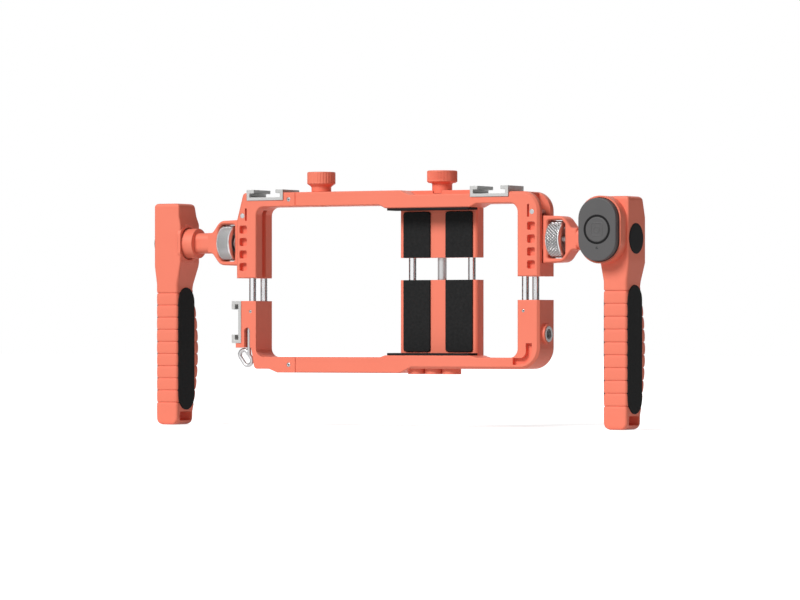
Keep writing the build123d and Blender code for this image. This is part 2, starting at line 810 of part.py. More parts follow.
# Lower back plate: stands on the lower jaw and holds the middle rods and the nut
nut_top = lower_plate_top - nut_cover
nut_foot = nut_top - nut_height
with BuildPart() as lower_back_plate:
    plate_outline(lower_jaw_top, lower_plate_top)
    span_box(flange_x, (back_y, plate_y1), (boss_height, lower_jaw_top))
    for x_span, z_span in pad_spans(lower_pad_foot - seat_clearance, lower_plate_top + overrun):
        span_box(x_span, (plate_y0 - overrun, plate_y0 + back_pad_recess), z_span, Mode.SUBTRACT)
    round_bar("Z", lead_screw_radius + slide_clearance, (lower_jaw_top + screw_floor,
              lower_plate_top + overrun), (0, plate_mid_y), Mode.SUBTRACT)
    half_pocket = nut_width / 2 + seat_clearance
    span_box((-half_pocket, half_pocket), (plate_mid_y - half_pocket, plate_mid_y + half_pocket),
             (nut_foot, lower_plate_top + overrun), Mode.SUBTRACT)
    middle_rod_bores(middle_rod_foot, lower_plate_top + overrun, seat_clearance)
    plate_screw_bores(lower_screw_offset, lower_screw_z, back_y - overrun, plate_y1 + overrun,
                      plate_screw_radius + seat_clearance)
    plate_screw_bores(lower_screw_offset, lower_screw_z, plate_y1 - plate_screw_head_height,
                      plate_y1 + overrun, plate_screw_head_radius + seat_clearance)
finish(lower_back_plate.part, "lower_back_plate")

back_pads(upper_plate_foot, upper_pad_top, upper_pad_top, "upper_back_pads")
back_pads(lower_pad_foot, lower_plate_top, lower_pad_foot, "lower_back_pads")


def jaw_pad(foot, name):
    # The flat rubber strip that bears on the telephone's long edge.
    half = jaw_half_length - jaw_pad_inset
    with BuildPart() as pad:
        span_box((-half, half), (front_y + edge_chamfer, jaw_pad_back),
                 (foot, foot + jaw_pad_thickness))
        fillet(pad.edges().filter_by(Axis.Z), jaw_pad_inset)
    finish(pad.part, name)


jaw_pad(upper_jaw_foot - jaw_pad_thickness, "upper_jaw_pad")
jaw_pad(lower_jaw_top, "lower_jaw_pad")


def guide_rods(places, radius, foot, top, name):
    with BuildPart() as rods:
        for place in places:
            round_bar("Z", radius, (foot, top), place)
        chamfer(rods.edges().filter_by(GeomType.CIRCLE), rod_end_chamfer)
    finish(rods.part, name)


side_places = [(x, y) for x in side_rod_xs for y in (-side_rod_y, side_rod_y)]
guide_rods(side_places, side_rod_radius, side_rod_foot, side_rod_top, "side_guide_rods")
middle_places = [(x, plate_mid_y) for x in middle_rod_xs]
guide_rods(middle_places, middle_rod_radius, middle_rod_foot, middle_rod_top, "middle_guide_rods")

# Lead screw: smooth where it runs in the plates, held up and down by its collar
with BuildPart() as lead_screw:
    axis_place = (0, plate_mid_y)
    round_bar("Z", lead_screw_radius, (lead_screw_foot, lead_screw_top), axis_place)
    round_bar("Z", lead_collar_radius, (collar_level, collar_level + lead_collar_height), axis_place)
    round_bar("Z", knob_shank_radius, (lead_screw_top, knob_seat + knob_shank_depth), axis_place)
finish(lead_screw.part, "lead_screw")

with BuildPart() as lead_nut:
    with BuildSketch(Plane.XY.offset(nut_foot)):
        with Locations((0, plate_mid_y)):
            Rectangle(nut_width, nut_width)
            Circle(lead_screw_radius + run_clearance, mode=Mode.SUBTRACT)
    extrude(amount=nut_height)
finish(lead_nut.part, "lead_nut")


def knob(place, foot, neck_radius, neck_height, head_radius, head_height, bore_radius, bore_depth):
    # A round head on a neck that widens into it, with a blind hole for its shank.
    with BuildPart() as body:
        with BuildSketch(Plane.XZ.offset(-place[1])):
            with BuildLine() as side:
                x = place[0]
                head_foot = foot + neck_height
                top = head_foot + head_height
                flare = (head_radius - neck_radius) / 2
                Polyline(
                    (x, foot),
                    (x + neck_radius, foot),
                    (x + neck_radius, head_foot - flare),
                    (x + neck_radius + flare, head_foot),
                    (x + head_radius, head_foot),
                    (x + head_radius, top),
                    (x, top),
                    close=True,
                )
            make_face(side.edges())
        revolve(axis=Axis((place[0], place[1], 0), (0, 0, 1)))
        rim = body.edges().filter_by(GeomType.CIRCLE).group_by(Axis.Z)[-1]
        fillet(rim, knob_edge_radius)
        round_bar("Z", bore_radius + seat_clearance, (foot - overrun, foot + bore_depth), place,
                  Mode.SUBTRACT)
    return body.part


clamp_knob = knob((0, plate_mid_y), knob_seat + slide_clearance, clamp_knob_neck_radius,
                  clamp_knob_neck_height, clamp_knob_radius, clamp_knob_height,
                  knob_shank_radius, knob_shank_depth)
finish(clamp_knob, "clamp_knob")
thumb_foot = bar_top + slide_clearance
thumb_knob = knob((thumb_x, 0), thumb_foot, thumb_knob_neck_radius, thumb_knob_neck_height,
                  thumb_knob_radius, thumb_knob_height, thumb_stud_radius, thumb_stud_grip)
finish(thumb_knob, "thumb_knob")

with BuildPart() as thumb_stud:
    round_bar("Z", thumb_stud_radius, (bar_top - thumb_stud_grip, thumb_foot + thumb_stud_grip
              - end_gap), (thumb_x, 0))
finish(thumb_stud.part, "thumb_stud")


def cold_shoe(x, z, turn, name):
    # An accessory shoe: a base, two walls and two lips, open along Y; turn tips it about Y.
    slot_width = shoe_width - 2 * shoe_wall
    with BuildPart() as shoe:
        with BuildSketch(Plane.XZ.offset(shoe_depth / 2)) as profile:
            with Locations(Location((x, z, 0), (0, 0, turn))):
                with Locations((0, shoe_height / 2)):
                    Rectangle(shoe_width, shoe_height)
                with Locations((0, shoe_base + shoe_slot / 2)):
                    Rectangle(slot_width, shoe_slot, mode=Mode.SUBTRACT)
                with Locations((0, (shoe_base + shoe_height + overrun) / 2)):
                    Rectangle(shoe_lip_gap, shoe_height + overrun - shoe_base, mode=Mode.SUBTRACT)
        extrude(profile.sketch, amount=-shoe_depth)
        chamfer(shoe.edges().filter_by(Axis.Y), shoe_edge_chamfer)
        if turn:
            screw_axis, place, face = "X", (0, z), x - shoe_base
            inward = 1
        else:
            screw_axis, place, face = "Z", (x, 0), z + shoe_base
            inward = -1
        through = (face - inward * overrun, face + inward * (shoe_base + overrun))
        round_bar(screw_axis, shoe_screw_radius + seat_clearance, through, place, Mode.SUBTRACT)
        pocket = (face - inward * overrun, face + inward * shoe_screw_head_height)
        round_bar(screw_axis, shoe_screw_head_radius + seat_clearance, pocket, place, Mode.SUBTRACT)
    finish(shoe.part, name)
    with BuildPart() as screw:
        head = (face, face + inward * shoe_screw_head_height)
        round_bar(screw_axis, shoe_screw_head_radius, head, place)
        shank = (head[1], face + inward * (shoe_base + shoe_screw_grip))
        round_bar(screw_axis, shoe_screw_radius, shank, place)
    return screw.part


upper_shoe_screws = [
    cold_shoe(left_shoe_x, shoe_floor, 0, "left_cold_shoe"),
    cold_shoe(right_shoe_x, shoe_floor, 0, "right_cold_shoe"),
]
side_shoe_screw = cold_shoe(outer_left + side_shoe_recess, ledge_top + shoe_width / 2, 90,
                            "side_cold_shoe")
finish(side_shoe_screw, "side_shoe_screw")


def gathered(parts, name):
    # Several separate solids in one node.
    with BuildPart() as group:
        for piece in parts:
            add(piece)
    finish(group.part, name)


gathered(upper_shoe_screws, "top_shoe_screws")


def corner_screw(level, name):
    place = (seam_x - corner_screw_inset, level)
    head_end = front_y + corner_screw_head_height
    with BuildPart() as screw:
        round_bar("Y", corner_screw_head_radius, (front_y + seat_clearance, head_end), place)
        round_bar("Y", corner_screw_radius, (head_end, back_y - overrun - end_gap), place)
    finish(screw.part, name)


corner_screw(upper_seam_z, "upper_corner_screw")
corner_screw(lower_seam_z, "lower_corner_screw")


def plate_screws(screw_offset, level, name):
    head_foot = plate_y1 - plate_screw_head_height
    with BuildPart() as screws:
        for x in (-screw_offset, screw_offset):
            round_bar("Y", plate_screw_head_radius, (head_foot, plate_y1 - seat_clearance), (x, level))
            round_bar("Y", plate_screw_radius, (back_y - plate_screw_grip, head_foot), (x, level))
    finish(screws.part, name)


plate_screws(upper_screw_offset, upper_seam_z, "upper_plate_screws")
plate_screws(lower_screw_offset, lower_screw_z, "lower_plate_screws")

with BuildPart() as rod_set_screws:
    for rod_x in side_rod_xs:
        for face in (front_y, back_y):
            inward = -1 if face > 0 else 1
            tip = face + inward * (half_depth - side_rod_y - side_rod_radius - seat_clearance)
            round_bar("Y", set_screw_radius, (face, tip), (rod_x, lower_block_top - set_screw_depth))
finish(rod_set_screws.part, "rod_set_screws")


def threaded_insert(axis, span, bore_span, place):
    round_bar(axis, insert_radius, span, place)
    round_bar(axis, insert_bore_radius, bore_span, place, Mode.SUBTRACT)


# The tripod inserts go right through the bar and are closed at the jaw's end.
with BuildPart() as tripod_inserts:
    for index in (-1, 0, 1):
        threaded_insert("Z", (0, lower_jaw_top), (-overrun, insert_bore_depth),
                        (index * boss_pitch, 0))
finish(tripod_inserts.part, "tripod_inserts")

with BuildPart() as side_insert:
    side_span = (side_boss_x - side_insert_length, side_boss_x)
    threaded_insert("X", side_span, (side_span[0] - overrun, side_boss_x + overrun),
                    (0, side_boss_level))
finish(side_insert.part, "side_insert")

with BuildPart() as strap_pins:
    for side in (-1, 1):
        round_bar("Y", strap_pin_radius, (front_y, back_y), strap_pin_place(side))
finish(strap_pins.part, "strap_pins")


def both_sides(right, name):
    # The right-hand piece as built, and its mirror image on the left of the cage.
    finish(right, f"right_{name}")
    with BuildPart() as left:
        mirror(right, about=Plane.YZ.offset(mid_x))
    finish(left.part, f"left_{name}")


# Places along X of the right arm and the right handle
channel_floor = outer_right - channel_depth
track_face = channel_floor - lip_thickness
yoke_in = outer_right + face_clearance
yoke_out = yoke_in + yoke_length
window_in = yoke_in + window_inset
window_out = window_in + window_length
wheel_in = window_in + washer_thickness + face_clearance
wheel_out = wheel_in + wheel_width
handle_in = outer_right + handle_reach
handle_out = handle_in + head_width
grip_in = handle_in + (head_width - grip_width) / 2
grip_out = grip_in + grip_width
collar_end = handle_in - collar_gap
collar_start = collar_end - collar_length
seat_floor = handle_in + collar_seat_depth
cap_floor = handle_out - cap_recess
screw_head_out = cap_floor - slide_clearance
screw_head_in = screw_head_out - pivot_screw_head_height
spigot_end = screw_head_in - pivot_washer_thickness
pocket_floor = spigot_end - slide_clearance
pivot = (0, arm_z)

# Arm: a foot in the cage's channel, a yoke round the wheel, a neck and the handle's pivot
with BuildPart() as arm:
    half_height = yoke_height / 2
    stub = yoke_out + neck_flare + overrun
    with BuildSketch(Plane.XZ.offset(yoke_depth / 2)):
        front_outline(
            [
                (yoke_in, arm_z - half_height),
                (yoke_out - shoulder_run, shoulder_fall + arm_z - half_height),
                (yoke_out, arm_z - neck_radius),
                (stub, arm_z - neck_radius),
                (stub, arm_z + neck_radius),
                (yoke_out, arm_z + neck_radius),
                (yoke_out - shoulder_run, arm_z + half_height - shoulder_fall),
                (yoke_in, arm_z + half_height),
            ],
            [0, shoulder_radius, neck_flare, 0, 0, neck_flare, shoulder_radius, 0],
        )
    extrude(amount=-yoke_depth)
    half_window = window_height / 2
    cut_level = half_window - window_corner_cut
    with BuildSketch(Plane.XZ.offset(yoke_depth / 2)):
        front_outline(
            [
                (window_in, arm_z - half_window),
                (window_out - window_corner_cut, arm_z - half_window),
                (window_out, arm_z - cut_level),
                (window_out, arm_z + cut_level),
                (window_out - window_corner_cut, arm_z + half_window),
                (window_in, arm_z + half_window),
            ],
            window_radius,
        )
    extrude(amount=-yoke_depth, mode=Mode.SUBTRACT)
    ends = arm.faces().filter_by(Axis.Y).sort_by(Axis.Y)
    chamfer(ends[0].edges() + ends[-1].edges(), yoke_edge_chamfer)
    foot_half_depth = channel_half_depth - face_clearance
    span_box((channel_floor + slide_clearance, yoke_in), (-foot_half_depth, foot_half_depth),
             (arm_z - foot_height / 2, arm_z + foot_height / 2))
    with BuildSketch(Plane.YZ.offset(stub - overrun)):
        with Locations(pivot):
            RectangleRounded(yoke_depth, 2 * neck_radius, neck_corner_radius)
    extrude(amount=collar_start + overrun - stub + overrun)
    round_bar("X", collar_radius, (collar_start, collar_end), pivot)
    round_bar("X", spigot_radius, (collar_end - overrun, spigot_end), pivot)
    round_bar("X", pivot_screw_radius + seat_clearance, (spigot_end - pivot_screw_bite - end_gap,
              spigot_end + overrun), pivot, Mode.SUBTRACT)
    round_bar("X", stud_radius + seat_clearance, (channel_floor, window_in + overrun), pivot,
              Mode.SUBTRACT)
both_sides(arm.part, "arm")

with BuildPart() as clamp_stud:
    head_span = (track_face - track_depth + slide_clearance, track_face - slide_clearance)
    head_half_depth = track_half_depth - face_clearance
    span_box(head_span, (-head_half_depth, head_half_depth),
             (arm_z - stud_head_height / 2, arm_z + stud_head_height / 2))
    round_bar("X", stud_radius, (head_span[1], wheel_out + stud_tip), pivot)
both_sides(clamp_stud.part, "clamp_stud")

with BuildPart() as clamp_washer:
    round_bar("X", washer_radius, (window_in, window_in + washer_thickness), pivot)
    round_bar("X", stud_radius + seat_clearance, (window_in - overrun, wheel_in), pivot, Mode.SUBTRACT)
both_sides(clamp_washer.part, "clamp_washer")

with BuildPart() as wheel:
    round_bar("X", wheel_radius, (wheel_in, wheel_out), pivot)
    chamfer(wheel.edges().filter_by(GeomType.CIRCLE), wheel_edge_chamfer)
    for recess in ((wheel_in - overrun, wheel_in + wheel_recess_depth),
                   (wheel_out - wheel_recess_depth, wheel_out + overrun)):
        round_bar("X", wheel_recess_radius, recess, pivot, Mode.SUBTRACT)
    round_bar("X", stud_radius + run_clearance, (wheel_in - overrun, wheel_out + overrun), pivot,
              Mode.SUBTRACT)
both_sides(wheel.part, "wheel")

# Handle: outline seen from the side, cut by its outline seen from the front
handle_foot = arm_z + handle_top - handle_length
belly_foot_z = handle_foot + belly_foot_rise
waist_z = arm_z - waist_level


def handle_profile(inset):
    # The side outline, made smaller all round by an inset.
    head_top = arm_z + handle_top
    with BuildSketch(Plane.YZ.offset(handle_in - ring_height - overrun)) as profile:
        with BuildLine() as outline:
            Polyline(
                (waist_back, waist_z),
                (head_back, arm_z - head_foot),
                (head_back, head_top - head_slant_height),
                (head_top_back, head_top),
                (-handle_front, head_top),
                (-handle_front, handle_foot),
                (foot_back, handle_foot),
                (waist_back, belly_foot_z),
            )
            ThreePointArc((waist_back, belly_foot_z), (belly_back, (belly_foot_z + waist_z) / 2),
                          (waist_back, waist_z))
        make_face(outline.edges())
        if inset:
            offset(amount=-inset)
    return profile.sketch


def back_edges(builder, side):
    # The edges between the handle's back and its inner or its outer side, above its foot.
    middle = (handle_in + handle_out) / 2
    edges = []
    for edge in builder.edges():
        box = edge.bounding_box()
        slim = box.size.X < slim_edge_share * head_width and box.size.Y < waist_back
        above = edge.center().Z > belly_foot_z and box.max.Y > waist_back / 2
        if slim and above and side * (edge.center().X - middle) > 0:
            edges.append(edge)
    return edges


profile_length = head_width + ring_height + 2 * overrun
with BuildPart() as groove_cutter:
    for index in range(groove_count):
        middle = arm_z - groove_top - index * groove_pitch
        span_box((handle_in - overrun, handle_out + overrun), (-handle_front - overrun,
                 belly_back + overrun), (middle - groove_height / 2, middle + groove_height / 2))
    extrude(handle_profile(groove_cut), amount=profile_length, mode=Mode.SUBTRACT)

slot_centre = (0, handle_foot + lanyard_slot_rise + lanyard_slot_height / 2)
grip_pad_foot = slot_centre[1] + lanyard_slot_height / 2 + grip_pad_slot_gap
grip_pad_length = arm_z - grip_pad_top - grip_pad_foot
pad_centre = (grip_pad_offset, grip_pad_foot + grip_pad_length / 2)
taper_foot = arm_z - head_foot - head_taper
with BuildPart() as handle:
    extrude(handle_profile(0), amount=profile_length)
    with BuildSketch(Plane.XZ.offset(handle_front + overrun)):
        front_outline(
            [
                (grip_in, handle_foot),
                (grip_out, handle_foot),
                (grip_out, taper_foot),
                (handle_out, arm_z - head_foot),
                (handle_out, arm_z + handle_top),
                (handle_in, arm_z + handle_top),
                (handle_in, arm_z + ring_radius + bulge_slope),
                (handle_in - bulge_rise, arm_z + ring_radius),
                (handle_in - bulge_rise, arm_z - ring_radius),
                (grip_in, taper_foot),
            ],
            [handle_foot_radius, handle_foot_radius, 0, 0, handle_top_radius, handle_top_radius,
             0, 0, 0, 0],
        )
    extrude(amount=-(handle_front + belly_back + 2 * overrun), mode=Mode.INTERSECT)
    fillet([edge for edge in handle.edges() if abs(edge.center().Y + handle_front) < end_gap],
           handle_edge_radius)
    fillet(back_edges(handle, -1), handle_inner_back_radius)
    fillet(back_edges(handle, 1), handle_outer_back_radius)
    with BuildSketch(Plane.YZ.offset(handle_in - ring_height)):
        with Locations(pivot):
            Circle(ring_radius)
        with Locations((-handle_front - ring_radius, arm_z)):
            Rectangle(2 * ring_radius, 2 * ring_radius, mode=Mode.SUBTRACT)
    extrude(amount=ring_height + overrun)
    round_bar("X", collar_radius + collar_groove, (handle_in - ring_height - overrun, seat_floor),
              pivot, Mode.SUBTRACT)
    round_bar("X", spigot_radius + run_clearance, (seat_floor - overrun, pocket_floor + overrun),
              pivot, Mode.SUBTRACT)
    round_bar("X", pivot_pocket_radius, (pocket_floor, handle_out + overrun), pivot, Mode.SUBTRACT)
    round_bar("X", cap_radius + seat_clearance, (cap_floor, handle_out + overrun), pivot,
              Mode.SUBTRACT)
    add(groove_cutter.part, mode=Mode.SUBTRACT)
    with BuildSketch(Plane.YZ.offset(grip_out - grip_pad_recess)):
        with Locations(pad_centre):
            SlotOverall(grip_pad_length + seat_clearance, grip_pad_width + seat_clearance, rotation=90)
    extrude(amount=grip_pad_recess + overrun, mode=Mode.SUBTRACT)
    with BuildSketch(Plane.YZ.offset(grip_in + grip_pad_recess)):
        with Locations(pad_centre):
            SlotOverall(grip_pad_length + seat_clearance, grip_pad_width + seat_clearance, rotation=90)
    extrude(amount=-grip_pad_recess - overrun, mode=Mode.SUBTRACT)
    with BuildSketch(Plane.YZ.offset(handle_in)):
        with Locations(slot_centre):
            RectangleRounded(lanyard_slot_depth, lanyard_slot_height, lanyard_slot_radius)
    extrude(amount=head_width, mode=Mode.SUBTRACT)

with BuildPart() as left_handle:
    mirror(handle.part, about=Plane.YZ.offset(mid_x))
finish(left_handle.part, "left_handle")

cup_width = remote_width + 2 * (curve_clearance + cup_wall)
cup_height = remote_height + 2 * (curve_clearance + cup_wall)
cup_x = handle_out - cup_inset - cup_width / 2
cup_z = arm_z + remote_rise
cup_centre = (cup_x, cup_z)
cup_screw_x = (handle_in + handle_out) / 2
cup_screw_zs = (cup_z - cup_screw_pitch / 2, cup_z + cup_screw_pitch / 2)
with BuildPart() as right_handle:
    add(handle.part)
    for z in cup_screw_zs:
        round_bar("Y", cup_screw_radius + seat_clearance, (-handle_front - overrun,
                  cup_screw_grip + end_gap - handle_front), (cup_screw_x, z), Mode.SUBTRACT)
finish(right_handle.part, "right_handle")

with BuildPart() as grip_pads:
    with BuildSketch(Plane.YZ.offset(grip_out - grip_pad_recess)):
        with Locations(pad_centre):
            SlotOverall(grip_pad_length, grip_pad_width, rotation=90)
    extrude(amount=grip_pad_thickness)
    with BuildSketch(Plane.YZ.offset(grip_in + grip_pad_recess)):
        with Locations(pad_centre):
            SlotOverall(grip_pad_length, grip_pad_width, rotation=90)
    extrude(amount=-grip_pad_thickness)
    proud = [grip_pads.faces().sort_by(Axis.X)[0], grip_pads.faces().sort_by(Axis.X)[-1]]
    fillet(proud[0].edges() + proud[1].edges(), grip_pad_edge_radius)
both_sides(grip_pads.part, "grip_pads")

with BuildPart() as friction_ring:
    round_bar("X", collar_radius, (seat_floor - friction_ring_thickness, seat_floor), pivot)
    round_bar("X", spigot_radius + curve_clearance, (collar_end - overrun, seat_floor + overrun),
              pivot, Mode.SUBTRACT)
both_sides(friction_ring.part, "friction_ring")

with BuildPart() as pivot_screw:
    round_bar("X", pivot_washer_radius, (spigot_end, screw_head_in), pivot)
    round_bar("X", pivot_screw_radius + seat_clearance, (spigot_end - overrun, screw_head_in + overrun),
              pivot, Mode.SUBTRACT)
    round_bar("X", pivot_screw_head_radius, (screw_head_in, screw_head_out), pivot)
    round_bar("X", pivot_screw_radius, (spigot_end - pivot_screw_bite, screw_head_in), pivot)
    with BuildSketch(Plane.YZ.offset(screw_head_out)):
        with Locations(pivot):
            RegularPolygon(pivot_screw_radius, 6)
    extrude(amount=-pivot_screw_head_height / 2, mode=Mode.SUBTRACT)
both_sides(pivot_screw.part, "pivot_screw")

with BuildPart() as pivot_cap:
    round_bar("X", cap_radius, (cap_floor, cap_floor + cap_thickness), pivot)
    fillet(pivot_cap.edges().filter_by(GeomType.CIRCLE).sort_by(Axis.X)[-1:], cap_edge_radius)
both_sides(pivot_cap.part, "pivot_cap")

# Cup for the remote, screwed to the front of the right handle
remote_rear = handle_front + cup_floor + cup_gap
remote_face = remote_rear + remote_depth
cup_corner_radius = remote_corner_radius + curve_clearance + cup_wall
with BuildPart() as remote_cup:
    with BuildSketch(Plane.XZ.offset(handle_front)):
        with Locations(cup_centre):
            RectangleRounded(cup_width, cup_height, cup_corner_radius)
    extrude(amount=cup_depth)
    with BuildSketch(Plane.XZ.offset(handle_front + cup_floor)):
        with Locations(cup_centre):
            RectangleRounded(cup_width - 2 * cup_wall, cup_height - 2 * cup_wall,
                             cup_corner_radius - cup_wall)
    extrude(amount=cup_depth, mode=Mode.SUBTRACT)
    for z in cup_screw_zs:
        floor_span = (-handle_front - cup_floor - overrun, overrun - handle_front)
        round_bar("Y", cup_screw_radius + seat_clearance, floor_span, (cup_screw_x, z), Mode.SUBTRACT)
        head_bore = (floor_span[0], cup_screw_head_height - handle_front - cup_floor)
        round_bar("Y", cup_screw_head_radius + seat_clearance, head_bore, (cup_screw_x, z),
                  Mode.SUBTRACT)
finish(remote_cup.part, "remote_cup")

with BuildPart() as cup_screws:
    head_face = -handle_front - cup_floor
    for z in cup_screw_zs:
        round_bar("Y", cup_screw_head_radius, (head_face, head_face + cup_screw_head_height),
                  (cup_screw_x, z))
        round_bar("Y", cup_screw_radius, (head_face, cup_screw_grip - handle_front),
                  (cup_screw_x, z))
finish(cup_screws.part, "cup_screws")


def remote_slab(near, far, inset, mode=Mode.ADD):
    # A slab with the remote's outline between two distances in front of the pivot's axis.
    with BuildSketch(Plane.XZ.offset(near)) as slab:
        with Locations(cup_centre):
            RectangleRounded(remote_width - 2 * inset, remote_height - 2 * inset,
                             remote_corner_radius - inset)
    extrude(slab.sketch, amount=far - near, mode=mode)


base_face = remote_rear + remote_base_thickness
board_rear = base_face + cell_thickness
board_face = board_rear + board_thickness
switch_face = board_face + switch_height
wall_rear = remote_face - remote_wall
button_bore_radius = button_radius + button_gap
button_ring_radius = button_bore_radius + button_ring_width
lens_centre = (cup_x, cup_z - lens_drop)
with BuildPart() as remote_case:
    remote_slab(base_face, remote_face, 0)
    front = remote_case.faces().filter_by(Axis.Y).sort_by(Axis.Y)[0]
    fillet(front.edges(), remote_edge_radius)
    remote_slab(base_face - overrun, wall_rear, remote_wall, Mode.SUBTRACT)
    past_face = -remote_face - overrun
    round_bar("Y", button_bore_radius, (past_face, -base_face), cup_centre, Mode.SUBTRACT)
    round_bar("Y", button_ring_radius + seat_clearance, (past_face, button_ring_depth - remote_face),
              cup_centre, Mode.SUBTRACT)
    round_bar("Y", lens_radius + seat_clearance, (past_face, -base_face), lens_centre, Mode.SUBTRACT)
finish(remote_case.part, "remote_case")

with BuildPart() as remote_base:
    lip_inset = remote_wall + seat_clearance
    remote_slab(remote_rear, base_face, 0)
    remote_slab(base_face, board_rear, lip_inset)
    remote_slab(base_face, board_rear + overrun, lip_inset + remote_lip, Mode.SUBTRACT)
finish(remote_base.part, "remote_base")

with BuildPart() as remote_board:
    remote_slab(board_rear, board_face, remote_wall + board_margin)
finish(remote_board.part, "remote_board")

with BuildPart() as coin_cell:
    round_bar("Y", cell_radius, (-board_rear, -base_face), cup_centre)
finish(coin_cell.part, "coin_cell")

with BuildPart() as tact_switch:
    half_switch = switch_width / 2
    span_box((cup_x - half_switch, cup_x + half_switch), (-switch_face, -board_face),
             (cup_z - half_switch, cup_z + half_switch))
finish(tact_switch.part, "tact_switch")

with BuildPart() as remote_button:
    flange_face = wall_rear - switch_gap
    flange_rear = flange_face - button_flange_thickness
    round_bar("Y", button_radius, (-remote_face - button_rise, -flange_face), cup_centre)
    fillet(remote_button.edges().filter_by(GeomType.CIRCLE).sort_by(Axis.Y)[:1], button_rise)
    round_bar("Y", button_flange_radius, (-flange_face, -flange_rear), cup_centre)
    round_bar("Y", button_stem_radius, (-flange_rear, -switch_face - button_travel - switch_gap),
              cup_centre)
finish(remote_button.part, "remote_button")

with BuildPart() as button_ring:
    round_bar("Y", button_ring_radius, (-remote_face, button_ring_depth - remote_face), cup_centre)
    round_bar("Y", button_bore_radius, (past_face, -base_face), cup_centre, Mode.SUBTRACT)
finish(button_ring.part, "button_ring")

with BuildPart() as status_led:
    round_bar("Y", lens_radius, (-remote_face, -board_face), lens_centre)
finish(status_led.part, "status_led")
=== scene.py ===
import bmesh
import bpy
import json
import math
from mathutils import Matrix, Vector


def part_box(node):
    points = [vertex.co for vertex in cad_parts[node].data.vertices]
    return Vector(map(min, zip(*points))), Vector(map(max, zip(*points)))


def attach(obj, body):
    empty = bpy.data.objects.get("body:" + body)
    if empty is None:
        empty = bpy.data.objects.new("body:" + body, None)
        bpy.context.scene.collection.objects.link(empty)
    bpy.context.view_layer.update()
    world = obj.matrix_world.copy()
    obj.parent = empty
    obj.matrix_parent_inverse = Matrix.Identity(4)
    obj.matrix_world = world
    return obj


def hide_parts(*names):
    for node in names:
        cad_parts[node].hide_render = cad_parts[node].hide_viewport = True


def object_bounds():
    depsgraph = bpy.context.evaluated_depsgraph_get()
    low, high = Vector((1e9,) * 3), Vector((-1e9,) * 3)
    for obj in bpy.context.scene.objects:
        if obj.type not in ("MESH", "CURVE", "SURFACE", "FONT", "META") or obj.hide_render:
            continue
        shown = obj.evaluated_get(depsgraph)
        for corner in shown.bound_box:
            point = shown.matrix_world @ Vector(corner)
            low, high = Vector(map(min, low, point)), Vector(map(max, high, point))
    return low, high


# A two-handled cage for a telephone. Metres; +Z up, -Y towards the telephone's screen side.
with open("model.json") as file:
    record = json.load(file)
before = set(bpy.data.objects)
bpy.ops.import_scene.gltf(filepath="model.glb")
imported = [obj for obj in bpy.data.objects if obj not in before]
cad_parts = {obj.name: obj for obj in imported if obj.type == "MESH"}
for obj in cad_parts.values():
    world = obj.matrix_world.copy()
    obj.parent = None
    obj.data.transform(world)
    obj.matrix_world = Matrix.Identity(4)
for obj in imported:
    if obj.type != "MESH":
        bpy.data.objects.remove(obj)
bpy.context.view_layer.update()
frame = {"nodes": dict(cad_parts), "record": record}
nodes = frame["nodes"]
slotOfNode = {row["node"]: row["material_slot"] for row in frame["record"]["subparts"]}
bodyOfNode = {node: body for body, members in frame["record"]["behaviour"]["bodies"].items()
              for node in members}
mm = 0.001
cageMiddle = -0.025
print("stage: frame loaded,", len(nodes), "nodes")


def rgb(red, green, blue):
    return (red, green, blue, 1.0)


def grey(value):
    return rgb(value, value, value)


def linked(name, data):
    thing = bpy.data.objects.new(name, data)
    bpy.context.scene.collection.objects.link(thing)
    return thing


def rawObject(name, verts, faces):
    mesh = bpy.data.meshes.new(name)
    mesh.from_pydata(verts, [], faces)
    return linked(name, mesh)


def feed(tree, node, inputs):
    # Sets a node's inputs: a socket is linked, anything else is a value.
    for key, value in inputs.items():
        if isinstance(value, bpy.types.NodeSocket):
            tree.links.new(value, node.inputs[key])
        else:
            node.inputs[key].default_value = value


def addNode(tree, kind, inputs=None, **settings):
    node = tree.nodes.new(kind)
    for label, value in settings.items():
        setattr(node, label, value)
    feed(tree, node, inputs or {})
    return node


def maths(tree, operation, *values, clamp=False):
    return addNode(tree, "ShaderNodeMath", dict(enumerate(values)), operation=operation,
                   use_clamp=clamp).outputs[0]


def clearedTree(owner):
    owner.use_nodes = True
    owner.node_tree.nodes.clear()
    return owner.node_tree


studio = {
    "azimuth": 29.5,             # degrees to the right of straight ahead
    "distance": 2.27,
    "aimX": -0.025,
    "aimAside": 0.00404,
    "eyeHeight": 0.0215,
    "lens": 198.4,
    "sensorWidth": 36.0,
    "clipStart": 0.01,
    "clipEnd": 50.0,
    "shiftY": 0.0402,            # the photograph's horizon lies below its middle
    "worldLight": 0.2,
    "keyStrength": 2.55,
    "keySoftness": 0.4,
    "keyTurn": -14.0,            # degrees to the left of straight ahead
    "keyRise": 36.0,
    "floorGlow": 0.72,
    "floorGrey": 0.8,
    "floorGap": 0.0002,
    "floorReach": 6.0,
    "cardDistance": 3.5,
    "cardFoot": -0.02,
    "cardTop": 3.0,
    # name, first and last turn in degrees, shade
    "cards": (("rightCard", 52.0, 96.0, 0.0), ("sideCard", 96.0, 134.0, 0.02),
              ("backRightCard", 134.0, 172.0, 0.05), ("leftCard", -90.0, -48.0, 0.02),
              ("backLeftCard", -142.0, -90.0, 0.06)),
}


